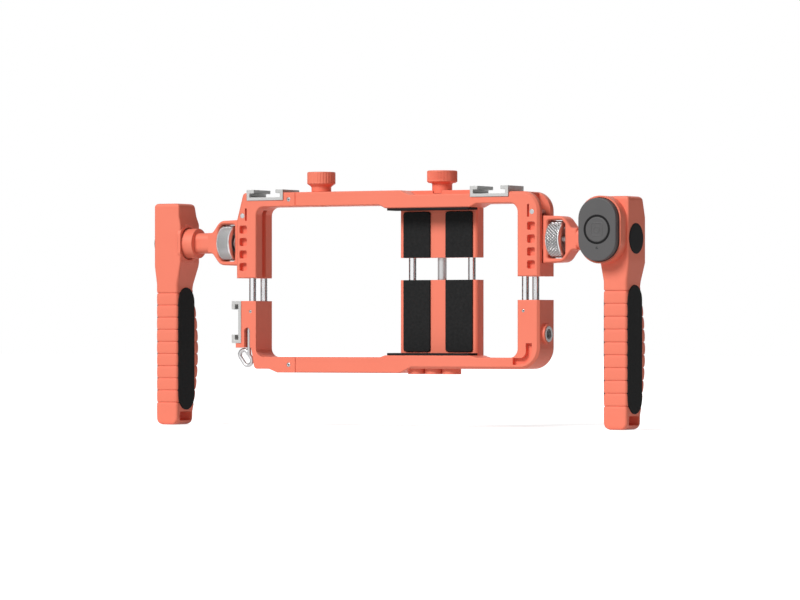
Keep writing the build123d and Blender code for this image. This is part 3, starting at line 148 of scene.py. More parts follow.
def makeCamera():
    data = bpy.data.cameras.new("photoCamera")
    data.lens = studio["lens"]
    data.sensor_width = studio["sensorWidth"]
    data.shift_y = studio["shiftY"]
    data.clip_start, data.clip_end = studio["clipStart"], studio["clipEnd"]
    camera = linked("photoCamera", data)
    turn = math.radians(studio["azimuth"])
    right = Vector((math.cos(turn), math.sin(turn), 0))
    ahead = Vector((-math.sin(turn), math.cos(turn), 0))
    aim = Vector((studio["aimX"], 0, studio["eyeHeight"])) + right * studio["aimAside"]
    camera.location = aim - ahead * studio["distance"]
    camera.rotation_euler = ahead.to_track_quat("-Z", "Y").to_euler()
    bpy.context.scene.camera = camera


def makeKey():
    data = bpy.data.lights.new("keyLamp", "SUN")
    data.energy = studio["keyStrength"]
    data.angle = studio["keySoftness"]
    lamp = linked("keyLamp", data)
    turn, rise = math.radians(studio["keyTurn"]), math.radians(studio["keyRise"])
    lamp.location = (math.sin(turn) * math.cos(rise), -math.cos(turn) * math.cos(rise),
                     math.sin(rise))
    lamp.rotation_euler = (-lamp.location).to_track_quat("-Z", "Y").to_euler()


def seenDirectly(tree):
    # 1 for camera, glossy and transmission rays, 0 for the light that falls on things
    rays = addNode(tree, "ShaderNodeLightPath").outputs
    seen = maths(tree, "MAXIMUM", rays["Is Camera Ray"], rays["Is Glossy Ray"])
    return maths(tree, "MAXIMUM", seen, rays["Is Transmission Ray"])


def makeWorld():
    world = bpy.data.worlds.new("whiteStudio")
    bpy.context.scene.world = world
    tree = clearedTree(world)
    lighting, shown = [addNode(tree, "ShaderNodeBackground",
                               {"Color": grey(1.0), "Strength": strength}).outputs[0]
                       for strength in (studio["worldLight"], 1.0)]
    mix = addNode(tree, "ShaderNodeMixShader", {0: seenDirectly(tree), 1: lighting, 2: shown})
    addNode(tree, "ShaderNodeOutputWorld", {"Surface": mix.outputs[0]})


def makeSheet(name, corners):
    # A four-cornered sheet and the empty tree of its material.
    material = bpy.data.materials.new(name)
    sheet = rawObject(name, corners, [(0, 1, 2, 3)])
    sheet.data.materials.append(material)
    return sheet, clearedTree(material)


def makeFloor():
    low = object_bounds()[0].z - studio["floorGap"]
    reach = studio["floorReach"]
    floor, tree = makeSheet("floor", [(-reach, -reach, low), (reach, -reach, low),
                                      (reach, reach, low), (-reach, reach, low)])
    paint = addNode(tree, "ShaderNodeBsdfDiffuse", {"Color": grey(studio["floorGrey"])})
    strength = maths(tree, "MULTIPLY", seenDirectly(tree), studio["floorGlow"])
    glow = addNode(tree, "ShaderNodeEmission", {"Color": grey(1.0), "Strength": strength})
    add = addNode(tree, "ShaderNodeAddShader", {0: paint.outputs[0], 1: glow.outputs[0]})
    addNode(tree, "ShaderNodeOutputMaterial", {"Surface": add.outputs[0]})


def makeCard(name, first, last, shade):
    # A card that only reflections see; it draws the dark lines on bright metal.
    (x0, y0), (x1, y1) = [(studio["cardDistance"] * math.sin(math.radians(turn)),
                           -studio["cardDistance"] * math.cos(math.radians(turn)))
                          for turn in (first, last)]
    foot, top = studio["cardFoot"], studio["cardTop"]
    card, tree = makeSheet(name, [(x0, y0, foot), (x1, y1, foot), (x1, y1, top), (x0, y0, top)])
    glow = addNode(tree, "ShaderNodeEmission", {"Color": grey(shade)})
    addNode(tree, "ShaderNodeOutputMaterial", {"Surface": glow.outputs[0]})
    for rays in ("camera", "diffuse", "shadow", "transmission"):
        setattr(card, "visible_" + rays, False)


bpy.context.scene.view_settings.view_transform = "Standard"
makeCamera()
makeWorld()
makeKey()
makeFloor()
for card in studio["cards"]:
    makeCard(*card)
print("stage: studio ready")


def newGroup(treeKind, name, inputs, outputs):
    # inputs are (label, kind, default or None), outputs (label, kind)
    group = bpy.data.node_groups.new(name, treeKind)
    for label, kind, value in inputs:
        socket = group.interface.new_socket(name=label, in_out="INPUT",
                                            socket_type="NodeSocket" + kind)
        if value is not None:
            socket.default_value = value
    for label, kind in outputs:
        group.interface.new_socket(name=label, in_out="OUTPUT", socket_type="NodeSocket" + kind)
    return group, group.nodes.new("NodeGroupInput"), group.nodes.new("NodeGroupOutput")


surface = {
    "edgeRadius": 0.0004, "edgeSamples": 4, "edgeGain": 3.0,
    "speckleScale": 900.0, "speckleLift": 0.3,
    "brushScale": 5000.0, "brushRough": 0.6,
    "dustScale": 350.0, "dustRough": 0.7, "dustFloor": 0.35, "dustColour": rgb(0.55, 0.52, 0.49),
    "coatRoughness": 0.2, "broadRoughness": 0.06,
}


def noiseFor(tree, vector, scale, detail, rough=0.5):
    return addNode(tree, "ShaderNodeTexNoise", {
        "Vector": vector, "Scale": scale, "Detail": detail, "Roughness": rough}).outputs["Fac"]


def objectPlace(tree):
    return addNode(tree, "ShaderNodeTexCoord").outputs["Object"]


def makeEdgeWear():
    # How far the surface turns within a small radius: high on edges, broken up by noise.
    group, _, end = newGroup("ShaderNodeTree", "edgeWear", [],
                             [("Worn", "Float"), ("Normal", "Vector")])
    bevel = addNode(group, "ShaderNodeBevel", {"Radius": surface["edgeRadius"]},
                    samples=surface["edgeSamples"]).outputs["Normal"]
    normal = addNode(group, "ShaderNodeNewGeometry").outputs["Normal"]
    dot = addNode(group, "ShaderNodeVectorMath", {0: bevel, 1: normal}, operation="DOT_PRODUCT")
    bend = maths(group, "SUBTRACT", 1.0, dot.outputs["Value"])
    speckle = noiseFor(group, objectPlace(group), surface["speckleScale"], 3.0)
    speckle = maths(group, "ADD", speckle, surface["speckleLift"])
    broken = maths(group, "MULTIPLY", bend, speckle)
    worn = maths(group, "MULTIPLY", broken, surface["edgeGain"], clamp=True)
    feed(group, end, {"Worn": worn, "Normal": bevel})
    return group


def makeGrain():
    # Fine and broad unevenness, both about 0.5 on average.
    group, start, end = newGroup(
        "ShaderNodeTree", "surfaceGrain",
        [("Fine Scale", "Float", None), ("Broad Scale", "Float", None)],
        [("Fine", "Float"), ("Broad", "Float")])
    place = objectPlace(group)
    feed(group, end, {
        "Fine": noiseFor(group, place, start.outputs["Fine Scale"], 2.0),
        "Broad": noiseFor(group, place, start.outputs["Broad Scale"], 4.0)})
    return group


def makeBrushing():
    # Long scratches along one axis of the object's own space.
    group, start, end = newGroup("ShaderNodeTree", "brushing", [("Stretch", "Vector", None)],
                                 [("Lines", "Float")])
    squeeze = addNode(group, "ShaderNodeVectorMath",
                      {0: objectPlace(group), 1: start.outputs["Stretch"]}, operation="MULTIPLY")
    feed(group, end, {"Lines": noiseFor(group, squeeze.outputs[0], surface["brushScale"], 2.0,
                                        surface["brushRough"])})
    return group


def makeDust():
    # A little dust on what faces up.
    group, start, end = newGroup("ShaderNodeTree", "dust", [("Amount", "Float", None)],
                                 [("Dusty", "Float")])
    normal = addNode(group, "ShaderNodeNewGeometry").outputs["Normal"]
    split = addNode(group, "ShaderNodeSeparateXYZ", {0: normal})
    up = maths(group, "MULTIPLY", split.outputs["Z"], 1.0, clamp=True)
    cloud = noiseFor(group, objectPlace(group), surface["dustScale"], 5.0, surface["dustRough"])
    cloud = maths(group, "SUBTRACT", cloud, surface["dustFloor"], clamp=True)
    held = maths(group, "MULTIPLY", up, cloud)
    feed(group, end, {"Dusty": maths(group, "MULTIPLY", held, start.outputs["Amount"],
                                     clamp=True)})
    return group


edgeWear = makeEdgeWear()
surfaceGrain = makeGrain()
brushing = makeBrushing()
dust = makeDust()


def useGroup(tree, group, inputs=None):
    return addNode(tree, "ShaderNodeGroup", inputs, node_tree=group).outputs


def mixColour(tree, factor, first, second):
    return addNode(tree, "ShaderNodeMix", {0: factor, 6: first, 7: second},
                   data_type="RGBA").outputs[2]


plainLook = {
    "metallic": 0.0, "specular": 0.5, "coat": 0.0, "fineScale": 4000.0, "broadScale": 60.0,
    "edgeAmount": 0.3, "dust": 0.0, "roughSpread": 0.12, "bump": 0.15, "bumpDepth": 0.00003,
}


def makeFinish(name, changes):
    # One Principled material: the plain look with this finish's changes.
    look = dict(plainLook, **changes)
    material = bpy.data.materials.new(name)
    material.use_nodes = True
    tree = material.node_tree
    grain = useGroup(tree, surfaceGrain, {"Fine Scale": look["fineScale"],
                                          "Broad Scale": look["broadScale"]})
    wear = useGroup(tree, edgeWear)
    base = mixColour(tree, grain["Broad"], look["colour"], look["colourTo"])
    worn = maths(tree, "MULTIPLY", wear["Worn"], look["edgeAmount"])
    base = mixColour(tree, worn, base, look["edgeColour"])
    if look["dust"]:
        dusty = useGroup(tree, dust, {"Amount": look["dust"]})["Dusty"]
        base = mixColour(tree, dusty, base, surface["dustColour"])
    # Painted shade: the knurl's grooves are darkened towards the groove shade colour.
    if "grooveShadeColour" in look:
        groove = addNode(tree, "ShaderNodeAttribute", attribute_name="groove").outputs["Fac"]
        deep = maths(tree, "MULTIPLY", groove, look["grooveShadeGain"], clamp=True)
        base = mixColour(tree, deep, base, look["grooveShadeColour"])
    relief = grain["Fine"]
    if "brush" in look:
        lines = useGroup(tree, brushing, {"Stretch": look["brush"]})["Lines"]
        relief = maths(tree, "MULTIPLY", maths(tree, "ADD", relief, lines), 0.5)
    rough = maths(tree, "MULTIPLY_ADD", relief, look["roughSpread"],
                  look["roughness"] - look["roughSpread"] / 2)
    rough = maths(tree, "MULTIPLY_ADD", grain["Broad"], surface["broadRoughness"], rough,
                  clamp=True)
    bump = addNode(tree, "ShaderNodeBump", {
        "Strength": look["bump"], "Distance": look["bumpDepth"], "Height": relief,
        "Normal": wear["Normal"]})
    feed(tree, tree.nodes["Principled BSDF"], {
        "Metallic": look["metallic"], "Specular IOR Level": look["specular"],
        "Coat Weight": look["coat"], "Coat Roughness": surface["coatRoughness"],
        "Base Color": base, "Roughness": rough, "Normal": bump.outputs["Normal"]})
    return material


looks = {
    "anodised_orange": ("orangeAnodising", {
        "colour": rgb(0.9, 0.215, 0.135), "colourTo": rgb(0.93, 0.24, 0.155),
        "edgeColour": rgb(0.96, 0.36, 0.24),
        "roughness": 0.46, "roughSpread": 0.1, "metallic": 0.05, "specular": 0.3,
        "fineScale": 5200.0, "broadScale": 45.0, "bump": 0.1, "dust": 0.05}),
    "rubber_black": ("blackRubber", {
        "colour": rgb(0.004, 0.0042, 0.0045), "colourTo": rgb(0.022, 0.0222, 0.0225),
        "edgeColour": grey(0.05), "roughness": 0.78, "roughSpread": 0.2, "specular": 0.18,
        "fineScale": 1500.0, "broadScale": 620.0, "bump": 0.8, "bumpDepth": 0.00012,
        "dust": 0.04}),
    "shoe_silver": ("silverShoe", {
        "colour": rgb(0.5, 0.5, 0.49), "colourTo": rgb(0.58, 0.58, 0.57),
        "edgeColour": grey(0.85), "roughness": 0.34, "metallic": 0.5,
        "brush": (1.0, 0.02, 1.0), "fineScale": 3000.0, "bump": 0.12}),
    "rod_chrome": ("chromedRod", {
        "colour": rgb(0.82, 0.82, 0.83), "colourTo": rgb(0.88, 0.88, 0.89),
        "edgeColour": grey(0.95), "roughness": 0.1, "roughSpread": 0.05,
        "metallic": 1.0, "brush": (1.0, 1.0, 0.03), "bump": 0.03}),
    "knurled_steel": ("knurledSteel", {
        "colour": rgb(0.62, 0.62, 0.63), "colourTo": grey(0.72),
        "edgeColour": grey(0.92), "edgeAmount": 0.6, "roughness": 0.18,
        "metallic": 0.95, "bump": 0.08, "dust": 0.05,
        # The groove colour is painted shade in the knurl's grooves.
        "grooveShadeColour": grey(0.14), "grooveShadeGain": 1.0}),
    "steel": ("plainSteel", {
        "colour": rgb(0.5, 0.5, 0.51), "colourTo": grey(0.6),
        "edgeColour": grey(0.85), "roughness": 0.28, "metallic": 0.7,
        "bump": 0.1, "dust": 0.05}),
    "black_steel": ("blackenedSteel", {
        "colour": rgb(0.03, 0.03, 0.032), "colourTo": rgb(0.05, 0.05, 0.052),
        "edgeColour": grey(0.3), "roughness": 0.38, "metallic": 0.8, "bump": 0.12}),
    "nut_brass": ("turnedBrass", {
        "colour": rgb(0.62, 0.42, 0.16), "colourTo": rgb(0.7, 0.5, 0.2),
        "edgeColour": rgb(0.9, 0.75, 0.4), "roughness": 0.28, "metallic": 1.0,
        "bump": 0.1}),
    "cap_black": ("blackCap", {
        "colour": rgb(0.007, 0.007, 0.0075), "colourTo": rgb(0.011, 0.011, 0.0115),
        "edgeColour": grey(0.06), "specular": 0.12,
        "roughness": 0.55, "roughSpread": 0.15, "fineScale": 3500.0, "bump": 0.3}),
    "remote_grey": ("greyPlastic", {
        "colour": rgb(0.088, 0.086, 0.087), "colourTo": rgb(0.104, 0.102, 0.103),
        "edgeColour": grey(0.17), "roughness": 0.5, "roughSpread": 0.14,
        "specular": 0.35, "fineScale": 4200.0, "bump": 0.28}),
    "board_green": ("boardLacquer", {
        "colour": rgb(0.01, 0.09, 0.035), "colourTo": rgb(0.014, 0.12, 0.05),
        "edgeColour": rgb(0.35, 0.32, 0.15), "roughness": 0.35}),
    "cell_steel": ("cellSteel", {
        "colour": rgb(0.6, 0.6, 0.61), "colourTo": grey(0.7),
        "edgeColour": grey(0.85), "roughness": 0.25, "metallic": 1.0,
        "brush": (1.0, 0.02, 1.0)}),
    "switch_black": ("switchPlastic", {
        "colour": rgb(0.015, 0.015, 0.016), "colourTo": rgb(0.024, 0.024, 0.025),
        "edgeColour": grey(0.08), "roughness": 0.45}),
    "lens_dark": ("darkLens", {
        "colour": rgb(0.006, 0.006, 0.007), "colourTo": rgb(0.012, 0.012, 0.014),
        "edgeColour": grey(0.05), "roughness": 0.12, "roughSpread": 0.04,
        "coat": 0.6, "bump": 0.02}),
}
finishes = {slot: makeFinish(*look) for slot, look in looks.items()}
for name, node in nodes.items():
    node.data.materials.clear()
    node.data.materials.append(finishes[slotOfNode[name]])
print("stage: finishes made,", len(finishes))


merging = {"drawn": 1e-6, "copied": 2e-6, "sliver": 1e-7, "flatAngle": 1.0}
roundCount = 96                  # segments of a plain turned piece


def mirrorX(point):
    # The left side is the right side mirrored about the cage's middle.
    return (2 * cageMiddle - point[0], point[1], point[2])


def bareObject(name, verts, faces, sharpAngle=32.0, left=False):
    # Merged doubles, outward faces, smooth shading with the sharp edges kept.
    thing = rawObject(name, [mirrorX(point) if left else tuple(point) for point in verts], faces)
    work = bmesh.new()
    work.from_mesh(thing.data)
    bmesh.ops.remove_doubles(work, verts=work.verts, dist=merging["drawn"])
    bmesh.ops.recalc_face_normals(work, faces=work.faces)
    for face in work.faces:
        face.smooth = True
    work.to_mesh(thing.data)
    work.free()
    thing.data.set_sharp_from_angle(angle=math.radians(sharpAngle))
    return thing


def settle(thing):
    # Turns the evaluated object into a plain mesh and drops its modifiers.
    graph = bpy.context.evaluated_depsgraph_get()
    mesh = bpy.data.meshes.new_from_object(thing.evaluated_get(graph),
                                           preserve_all_data_layers=True, depsgraph=graph)
    mesh.name = thing.name
    thing.modifiers.clear()
    thing.data = mesh


def discard(thing):
    mesh = thing.data
    bpy.data.objects.remove(thing)
    bpy.data.meshes.remove(mesh)


def cutAway(thing, cutter):
    cut = thing.modifiers.new("cut", "BOOLEAN")
    cut.operation = "DIFFERENCE"
    cut.solver = "EXACT"
    cut.object = cutter
    settle(thing)
    discard(cutter)


def joinMeshes(name, things):
    # One mesh out of several objects, which are dropped.
    work = bmesh.new()
    for thing in things:
        work.from_mesh(thing.data)
    mesh = bpy.data.meshes.new(name)
    work.to_mesh(mesh)
    work.free()
    for thing in things:
        discard(thing)
    return linked(name, mesh)


def finishPiece(piece, slot, body, replaced=(), sharpAngle=32.0):
    # Flat faces keep flat shading beside small round edges; then the piece joins its body.
    piece.data.materials.clear()
    piece.data.materials.append(finishes[slot])
    for face in piece.data.polygons:
        face.material_index = 0
        face.use_smooth = True
    piece.data.set_sharp_from_angle(angle=math.radians(sharpAngle))
    weigh = piece.modifiers.new("weigh", "WEIGHTED_NORMAL")
    weigh.keep_sharp = True
    settle(piece)
    if replaced:
        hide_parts(*replaced)
    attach(piece, body)


def copiedNode(nodeName, flat=False):
    # A merged copy of a CAD node without its stored normals; flat faces are joined if asked.
    mesh = nodes[nodeName].data.copy()
    mesh.name = nodeName + "Piece"
    for layer in list(mesh.attributes):
        if layer.name == "custom_normal":
            mesh.attributes.remove(layer)
    piece = linked(nodeName + "Piece", mesh)
    work = bmesh.new()
    work.from_mesh(mesh)
    bmesh.ops.remove_doubles(work, verts=work.verts, dist=merging["copied"])
    if flat:
        bmesh.ops.dissolve_limit(work, angle_limit=math.radians(merging["flatAngle"]),
                                 verts=work.verts, edges=work.edges)
    else:
        bmesh.ops.dissolve_degenerate(work, edges=work.edges, dist=merging["sliver"])
    work.to_mesh(mesh)
    work.free()
    return piece


def dressedCopy(nodeName, slot=None):
    finishPiece(copiedNode(nodeName), slot or slotOfNode[nodeName], bodyOfNode[nodeName],
                (nodeName,))


def stacked(rings, ends="capped"):
    # Quads between rings of equal length; the ends are capped, open or joined to each other.
    count, rows = len(rings[0]), len(rings)
    faces = []
    for row in range(rows if ends == "joined" else rows - 1):
        after = (row + 1) % rows
        for step in range(count):
            beside = (step + 1) % count
            faces.append((row * count + step, row * count + beside,
                          after * count + beside, after * count + step))
    if ends == "capped":
        faces.append(tuple(range(count)))
        faces.append(tuple((rows - 1) * count + step for step in range(count)))
    return [point for ring in rings for point in ring], faces


# Where x, y and z come from in (first across, second across, along).
axisOrder = {"X": (2, 0, 1), "Y": (0, 2, 1), "Z": (0, 1, 2)}


def turned(axis, centre, profile, count, ends="capped"):
    # Lathe: profile is a list of (radius, distance along the axis).
    rings = []
    for radius, along in profile:
        ring = []
        for step in range(count):
            turn = 2 * math.pi * step / count
            point = (centre[0] + radius * math.cos(turn), centre[1] + radius * math.sin(turn),
                     along)
            ring.append(tuple(point[index] for index in axisOrder[axis]))
        rings.append(ring)
    return stacked(rings, ends)


def stadium(centre, length, width, inset, steps):
    # Outline of an upright slot in the YZ plane, drawn in by an inset.
    radius = width / 2 - inset
    reach = length / 2 - width / 2
    points = []
    for end in (1, -1):
        for step in range(steps + 1):
            turn = math.pi * step / steps + (0 if end > 0 else math.pi)
            points.append((centre[0] + radius * math.cos(turn),
                           centre[1] + end * reach + radius * math.sin(turn)))
    return points


def roundedRect(half, radius, steps):
    # Outline of a rounded rectangle round the origin, as (across, up) pairs.
    points = []
    for across, up, start in ((1, 1, 0), (-1, 1, 90), (-1, -1, 180), (1, -1, 270)):
        for step in range(steps + 1):
            turn = math.radians(start + 90 * step / steps)
            points.append((across * (half[0] - radius) + radius * math.cos(turn),
                           up * (half[1] - radius) + radius * math.sin(turn)))
    return points


def newTree(name, inputs):
    return newGroup("GeometryNodeTree", name,
                    [("Geometry", "Geometry", None)] + inputs + [("Material", "Material", None)],
                    [("Geometry", "Geometry")])


def endTree(tree, start, end, geometry):
    # Every tree ends in Realize Instances and Set Material.
    realize = addNode(tree, "GeometryNodeRealizeInstances", {0: geometry})
    dress = addNode(tree, "GeometryNodeSetMaterial", {
        "Geometry": realize.outputs[0], "Material": start.outputs["Material"]})
    feed(tree, end, {"Geometry": dress.outputs[0]})


def storedValue(tree, name, kind="FLOAT"):
    node = addNode(tree, "GeometryNodeInputNamedAttribute", {"Name": name}, data_type=kind)
    return next(socket for socket in node.outputs if socket.enabled)


knurling = {"gain": 1.35, "fade": 0.15}


def makeKnurlTree():
    # Ridges cut into a band: straight flutes when Slant is 0, diamonds when it isn't.
    tree, start, end = newTree("knurl", [("Count", "Float", None), ("Slant", "Float", None),
                                         ("Depth", "Float", None)])
    band = storedValue(tree, "band")
    around = maths(tree, "MULTIPLY", storedValue(tree, "turn"), start.outputs["Count"])
    lean = maths(tree, "MULTIPLY", storedValue(tree, "along"), start.outputs["Slant"])
    ridges = []
    for operation in ("ADD", "SUBTRACT"):
        phase = maths(tree, "FRACT", maths(tree, operation, around, lean))
        folded = maths(tree, "ABSOLUTE", maths(tree, "MULTIPLY_ADD", phase, 2.0, -1.0))
        ridges.append(maths(tree, "SUBTRACT", 1.0, folded))
    height = maths(tree, "MINIMUM", ridges[0], ridges[1])
    height = maths(tree, "MINIMUM", maths(tree, "MULTIPLY", height, knurling["gain"]), 1.0)
    sunk = maths(tree, "MULTIPLY", maths(tree, "SUBTRACT", height, 1.0), band)
    sunk = maths(tree, "MULTIPLY", sunk, start.outputs["Depth"])
    shift = addNode(tree, "ShaderNodeVectorMath", {
        0: storedValue(tree, "outward", "FLOAT_VECTOR"), "Scale": sunk}, operation="SCALE")
    move = addNode(tree, "GeometryNodeSetPosition", {
        "Geometry": start.outputs["Geometry"], "Offset": shift.outputs[0]})
    # Painted shade that darkens the grooves, for the finish to read.
    groovePaintedShade = maths(tree, "MULTIPLY", maths(tree, "SUBTRACT", 1.0, height), band)
    store = addNode(tree, "GeometryNodeStoreNamedAttribute", {
        "Name": "groove", "Geometry": move.outputs[0], "Value": groovePaintedShade})
    endTree(tree, start, end, store.outputs[0])
    return tree


threadSizes = {"radius": 2.62, "ridge": 0.26, "pitch": 1.27, "turnSteps": 40, "ridgeSides": 4,
               "tripodLength": 6.6, "tripodMouths": ((-10, 0, 0.5), (0, 0, 0.5), (10, 0, 0.5)),
               "sideLength": 7.6, "sideMouth": (65.6, 0, 20.6)}


def makeThreadTree():
    # A helical ridge inside a threaded bore, along +Z of the object it is built on.
    tree, start, end = newTree("thread", [("Radius", "Float", None), ("Length", "Float", None),
                                          ("Turns", "Float", None), ("Ridge", "Float", None)])
    given = start.outputs
    spiral = addNode(tree, "GeometryNodeCurveSpiral", {
        "Resolution": threadSizes["turnSteps"], "Rotations": given["Turns"],
        "Start Radius": given["Radius"], "End Radius": given["Radius"],
        "Height": given["Length"]})
    section = addNode(tree, "GeometryNodeCurvePrimitiveCircle", {
        "Resolution": threadSizes["ridgeSides"], "Radius": given["Ridge"]})
    sweep = addNode(tree, "GeometryNodeCurveToMesh", {
        "Fill Caps": True, "Curve": spiral.outputs[0], "Profile Curve": section.outputs[0]})
    endTree(tree, start, end, sweep.outputs[0])
    return tree


def makeScatterTree():
    # One screw head on each point, turned by the tree's own input.
    tree, start, end = newTree("screwRow", [("Screw", "Object", None),
                                            ("Turn", "Rotation", None)])
    info = addNode(tree, "GeometryNodeObjectInfo", {"Object": start.outputs["Screw"]})
    place = addNode(tree, "GeometryNodeInstanceOnPoints", {
        "Points": start.outputs["Geometry"], "Instance": info.outputs["Geometry"],
        "Rotation": start.outputs["Turn"]})
    endTree(tree, start, end, place.outputs[0])
    return tree


def runTree(thing, tree, slot, values):
    # Inputs are set by the sockets' identifiers before the object is first evaluated.
    grow = thing.modifiers.new("grow", "NODES")
    grow.node_group = tree
    values = dict(values, Material=finishes[slot])
    for item in tree.interface.items_tree:
        if item.item_type == "SOCKET" and item.in_out == "INPUT" and item.name in values:
            grow[item.identifier] = values[item.name]
    settle(thing)


knurlTree = makeKnurlTree()
threadTree = makeThreadTree()
screwTree = makeScatterTree()


def markBand(thing, axis, centre, low, high, innermost):
    # What the knurl tree reads: the share of a turn, the place along the axis and the band.
    turns, places, bands, outwards = [], [], [], []
    for vertex in thing.data.vertices:
        x, y, z = vertex.co
        if axis == "X":
            side, up, place = y - centre[0], z - centre[1], x
            direction = Vector((0, side, up)).normalized()
        else:
            side, up, place = x - centre[0], y - centre[1], z
            direction = Vector((side, up, 0)).normalized()
        inside = min(place - low, high - place) / (knurling["fade"] * mm)
        rim = math.hypot(side, up) > innermost
        turns.append((math.atan2(up, side) / (2 * math.pi)) % 1.0)
        places.append(place)
        bands.append(max(0.0, min(1.0, inside)) if rim else 0.0)
        outwards.extend(direction)
    for label, values in (("turn", turns), ("along", places), ("band", bands)):
        layer = thing.data.attributes.new(label, "FLOAT", "POINT")
        layer.data.foreach_set("value", values)
    layer = thing.data.attributes.new("outward", "FLOAT_VECTOR", "POINT")
    layer.data.foreach_set("vector", outwards)


def spread(low, high, count):
    return [low + (high - low) * step / count for step in range(count + 1)]


wheelSizes = {
    "bore": 2.05, "recessRadius": 6.0, "recessDepth": 0.8, "recessLip": 0.2, "edge": 0.7,
    "knurlCount": 36, "knurlSlant": 0.85, "knurlDepth": 0.75, "knurlInset": 0.2,
    "rows": 44, "columns": 360,
}


def makeWheel(side):
    name = side + "_wheel"
    low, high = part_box(name)
    s = wheelSizes
    centre = ((low[1] + high[1]) / 2, (low[2] + high[2]) / 2)
    radius = (high[2] - low[2]) / 2
    edge, recess, lip = s["edge"] * mm, s["recessRadius"] * mm, s["recessLip"] * mm
    depth, bore = s["recessDepth"] * mm, s["bore"] * mm
    # One face from the bore to the rim, as (radius, depth below that face).
    face = [(bore, depth), (recess - lip, depth), (recess, lip), (recess + lip, 0.0),
            (radius - 1.1 * edge, 0.0), (radius - 0.4 * edge, 0.35 * edge)]
    profile = [(reach, low[0] + below) for reach, below in face]
    profile += [(radius, place) for place in spread(low[0] + edge, high[0] - edge, s["rows"])]
    profile += [(reach, high[0] - below) for reach, below in reversed(face)]
    wheel = bareObject(name + "Piece", *turned("X", centre, profile, s["columns"], "joined"))
    markBand(wheel, "X", centre, low[0] + edge, high[0] - edge, radius - s["knurlInset"] * mm)
    pitch = 2 * math.pi * radius / s["knurlCount"]
    runTree(wheel, knurlTree, "knurled_steel",
            {"Count": float(s["knurlCount"]), "Slant": s["knurlSlant"] / pitch,
             "Depth": s["knurlDepth"] * mm})
    finishPiece(wheel, "knurled_steel", name, (name,), 26.0)


for side in ("left", "right"):
    makeWheel(side)
print("stage: wheels knurled")


knobSizes = {
    "clamp_knob": {"headFoot": 98.05, "neck": 5.2, "flutes": 64, "fluteDepth": 0.32,
                   "chamfer": 0.9},
    "thumb_knob": {"headFoot": 97.35, "neck": 5.15, "flutes": 30, "fluteDepth": 0.2,
                   "chamfer": 1.5},
}
# Shared by both knobs. neckSteps are (beside the neck, above the head's foot), dishSteps
# (inside the head's radius, below the top).
knobShape = {
    "rim": 0.5, "fluteSteps": 8, "bandRows": 10, "knurlInset": 0.3, "dishMiddle": 0.6,
    "neckSteps": ((0.0, -0.9), (0.15, -0.3), (0.6, 0.0)), "dishSteps": ((1.6, 0.0), (1.9, 0.15)),
}


def makeKnob(name, sizes):
    low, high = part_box(name)
    s = knobShape
    centre = ((low[0] + high[0]) / 2, (low[1] + high[1]) / 2)
    radius = (high[0] - low[0]) / 2
    headFoot, neck = sizes["headFoot"] * mm, sizes["neck"] * mm
    chamfer, rim = sizes["chamfer"] * mm, s["rim"] * mm
    top = high[2]
    bandFoot, bandTop = headFoot + 0.8 * chamfer, top - rim
    profile = [(neck, low[2])]
    profile += [(neck + out * mm, headFoot + up * mm) for out, up in s["neckSteps"]]
    profile += [(radius - chamfer, headFoot + 0.1 * mm),
                (radius - 0.12 * mm, bandFoot - 0.1 * mm)]
    profile += [(radius, place) for place in spread(bandFoot, bandTop, s["bandRows"])]
    profile += [(radius - 0.2 * rim, top - 0.4 * rim), (radius - rim, top)]
    profile += [(radius - inside * mm, top - below * mm) for inside, below in s["dishSteps"]]
    profile.append((s["dishMiddle"] * mm, top - s["dishSteps"][-1][1] * mm))
    knob = bareObject(name + "Piece",
                      *turned("Z", centre, profile, sizes["flutes"] * s["fluteSteps"]))
    markBand(knob, "Z", centre, bandFoot - 0.02 * mm, bandTop + 0.02 * mm,
             radius - s["knurlInset"] * mm)
    runTree(knob, knurlTree, slotOfNode[name],
            {"Count": float(sizes["flutes"]), "Slant": 0.0, "Depth": sizes["fluteDepth"] * mm})
    finishPiece(knob, slotOfNode[name], bodyOfNode[name], (name,), 40.0)


for name, sizes in knobSizes.items():
    makeKnob(name, sizes)
print("stage: knobs fluted")


handleSizes = {
    "armLevel": 68.3, "top": 89.4, "foot": -27.3, "front": -8.3,
    "inner": 99.6, "outer": 115.0, "gripInner": 100.65, "gripOuter": 113.95,
    "bulge": 98.7, "bulgeHalf": 9.8, "bulgeSlope": 4.5,
    "headFoot": 56.3, "taperFoot": 46.9,
    "topBack": 7.9, "headBack": 11.2, "slantFoot": 79.0, "waist": 44.3, "waistBack": 7.7,
    "bellyFoot": -20.2, "bellyBack": 13.4, "footBack": 7.4,
    "headEdge": 0.9, "gripEdge": 1.5, "backEdge": 1.3,
    "topRound": 2.0, "footRound": 3.6, "endRound": 1.4,
    "grooveTop": 42.1, "groovePitch": 6.4, "grooveCount": 10, "grooveDepth": 0.36,
    "grooveHalf": 0.34, "waveDepth": 0.16, "waveReach": 1.3, "rippleDepth": 0.7,
    "slotMiddle": -22.75, "slotHalf": (5.8, 2.35), "slotRound": 1.2, "slotSteps": 6,
    "cutFrom": 90.0, "cutTo": 125.0,
    "seatRadius": 8.5, "seatFloor": 99.9, "seatFront": -8.05,
    "ringRadius": 10.4, "ringFace": 98.3, "ringFront": -8.9, "ringInnerFoot": 99.7,
    "ringOuterFoot": 100.3, "capRadius": 7.7, "capFoot": 113.6, "capFace": 115.4,
    # The loft's rings: (first distance, growth, number) from the foot and the top, (pitch,
    # number) over the head; shares of a groove's pitch; distances beyond the end grooves.
    "footRings": (0.05, 0.11, 7), "topRings": (0.02, 0.08, 6), "headRings": (2.5, 8),
    "grooveShares": (0, 0.052, 0.056, 0.13, 0.22, 0.36, 0.5, 0.64, 0.78, 0.87, 0.944, 0.948),
    "grooveAways": (0.34, 0.36, 0.9, 1.3),
    "cornerPoints": 7, "sideShares": (0.25, 0.5, 0.75),
}
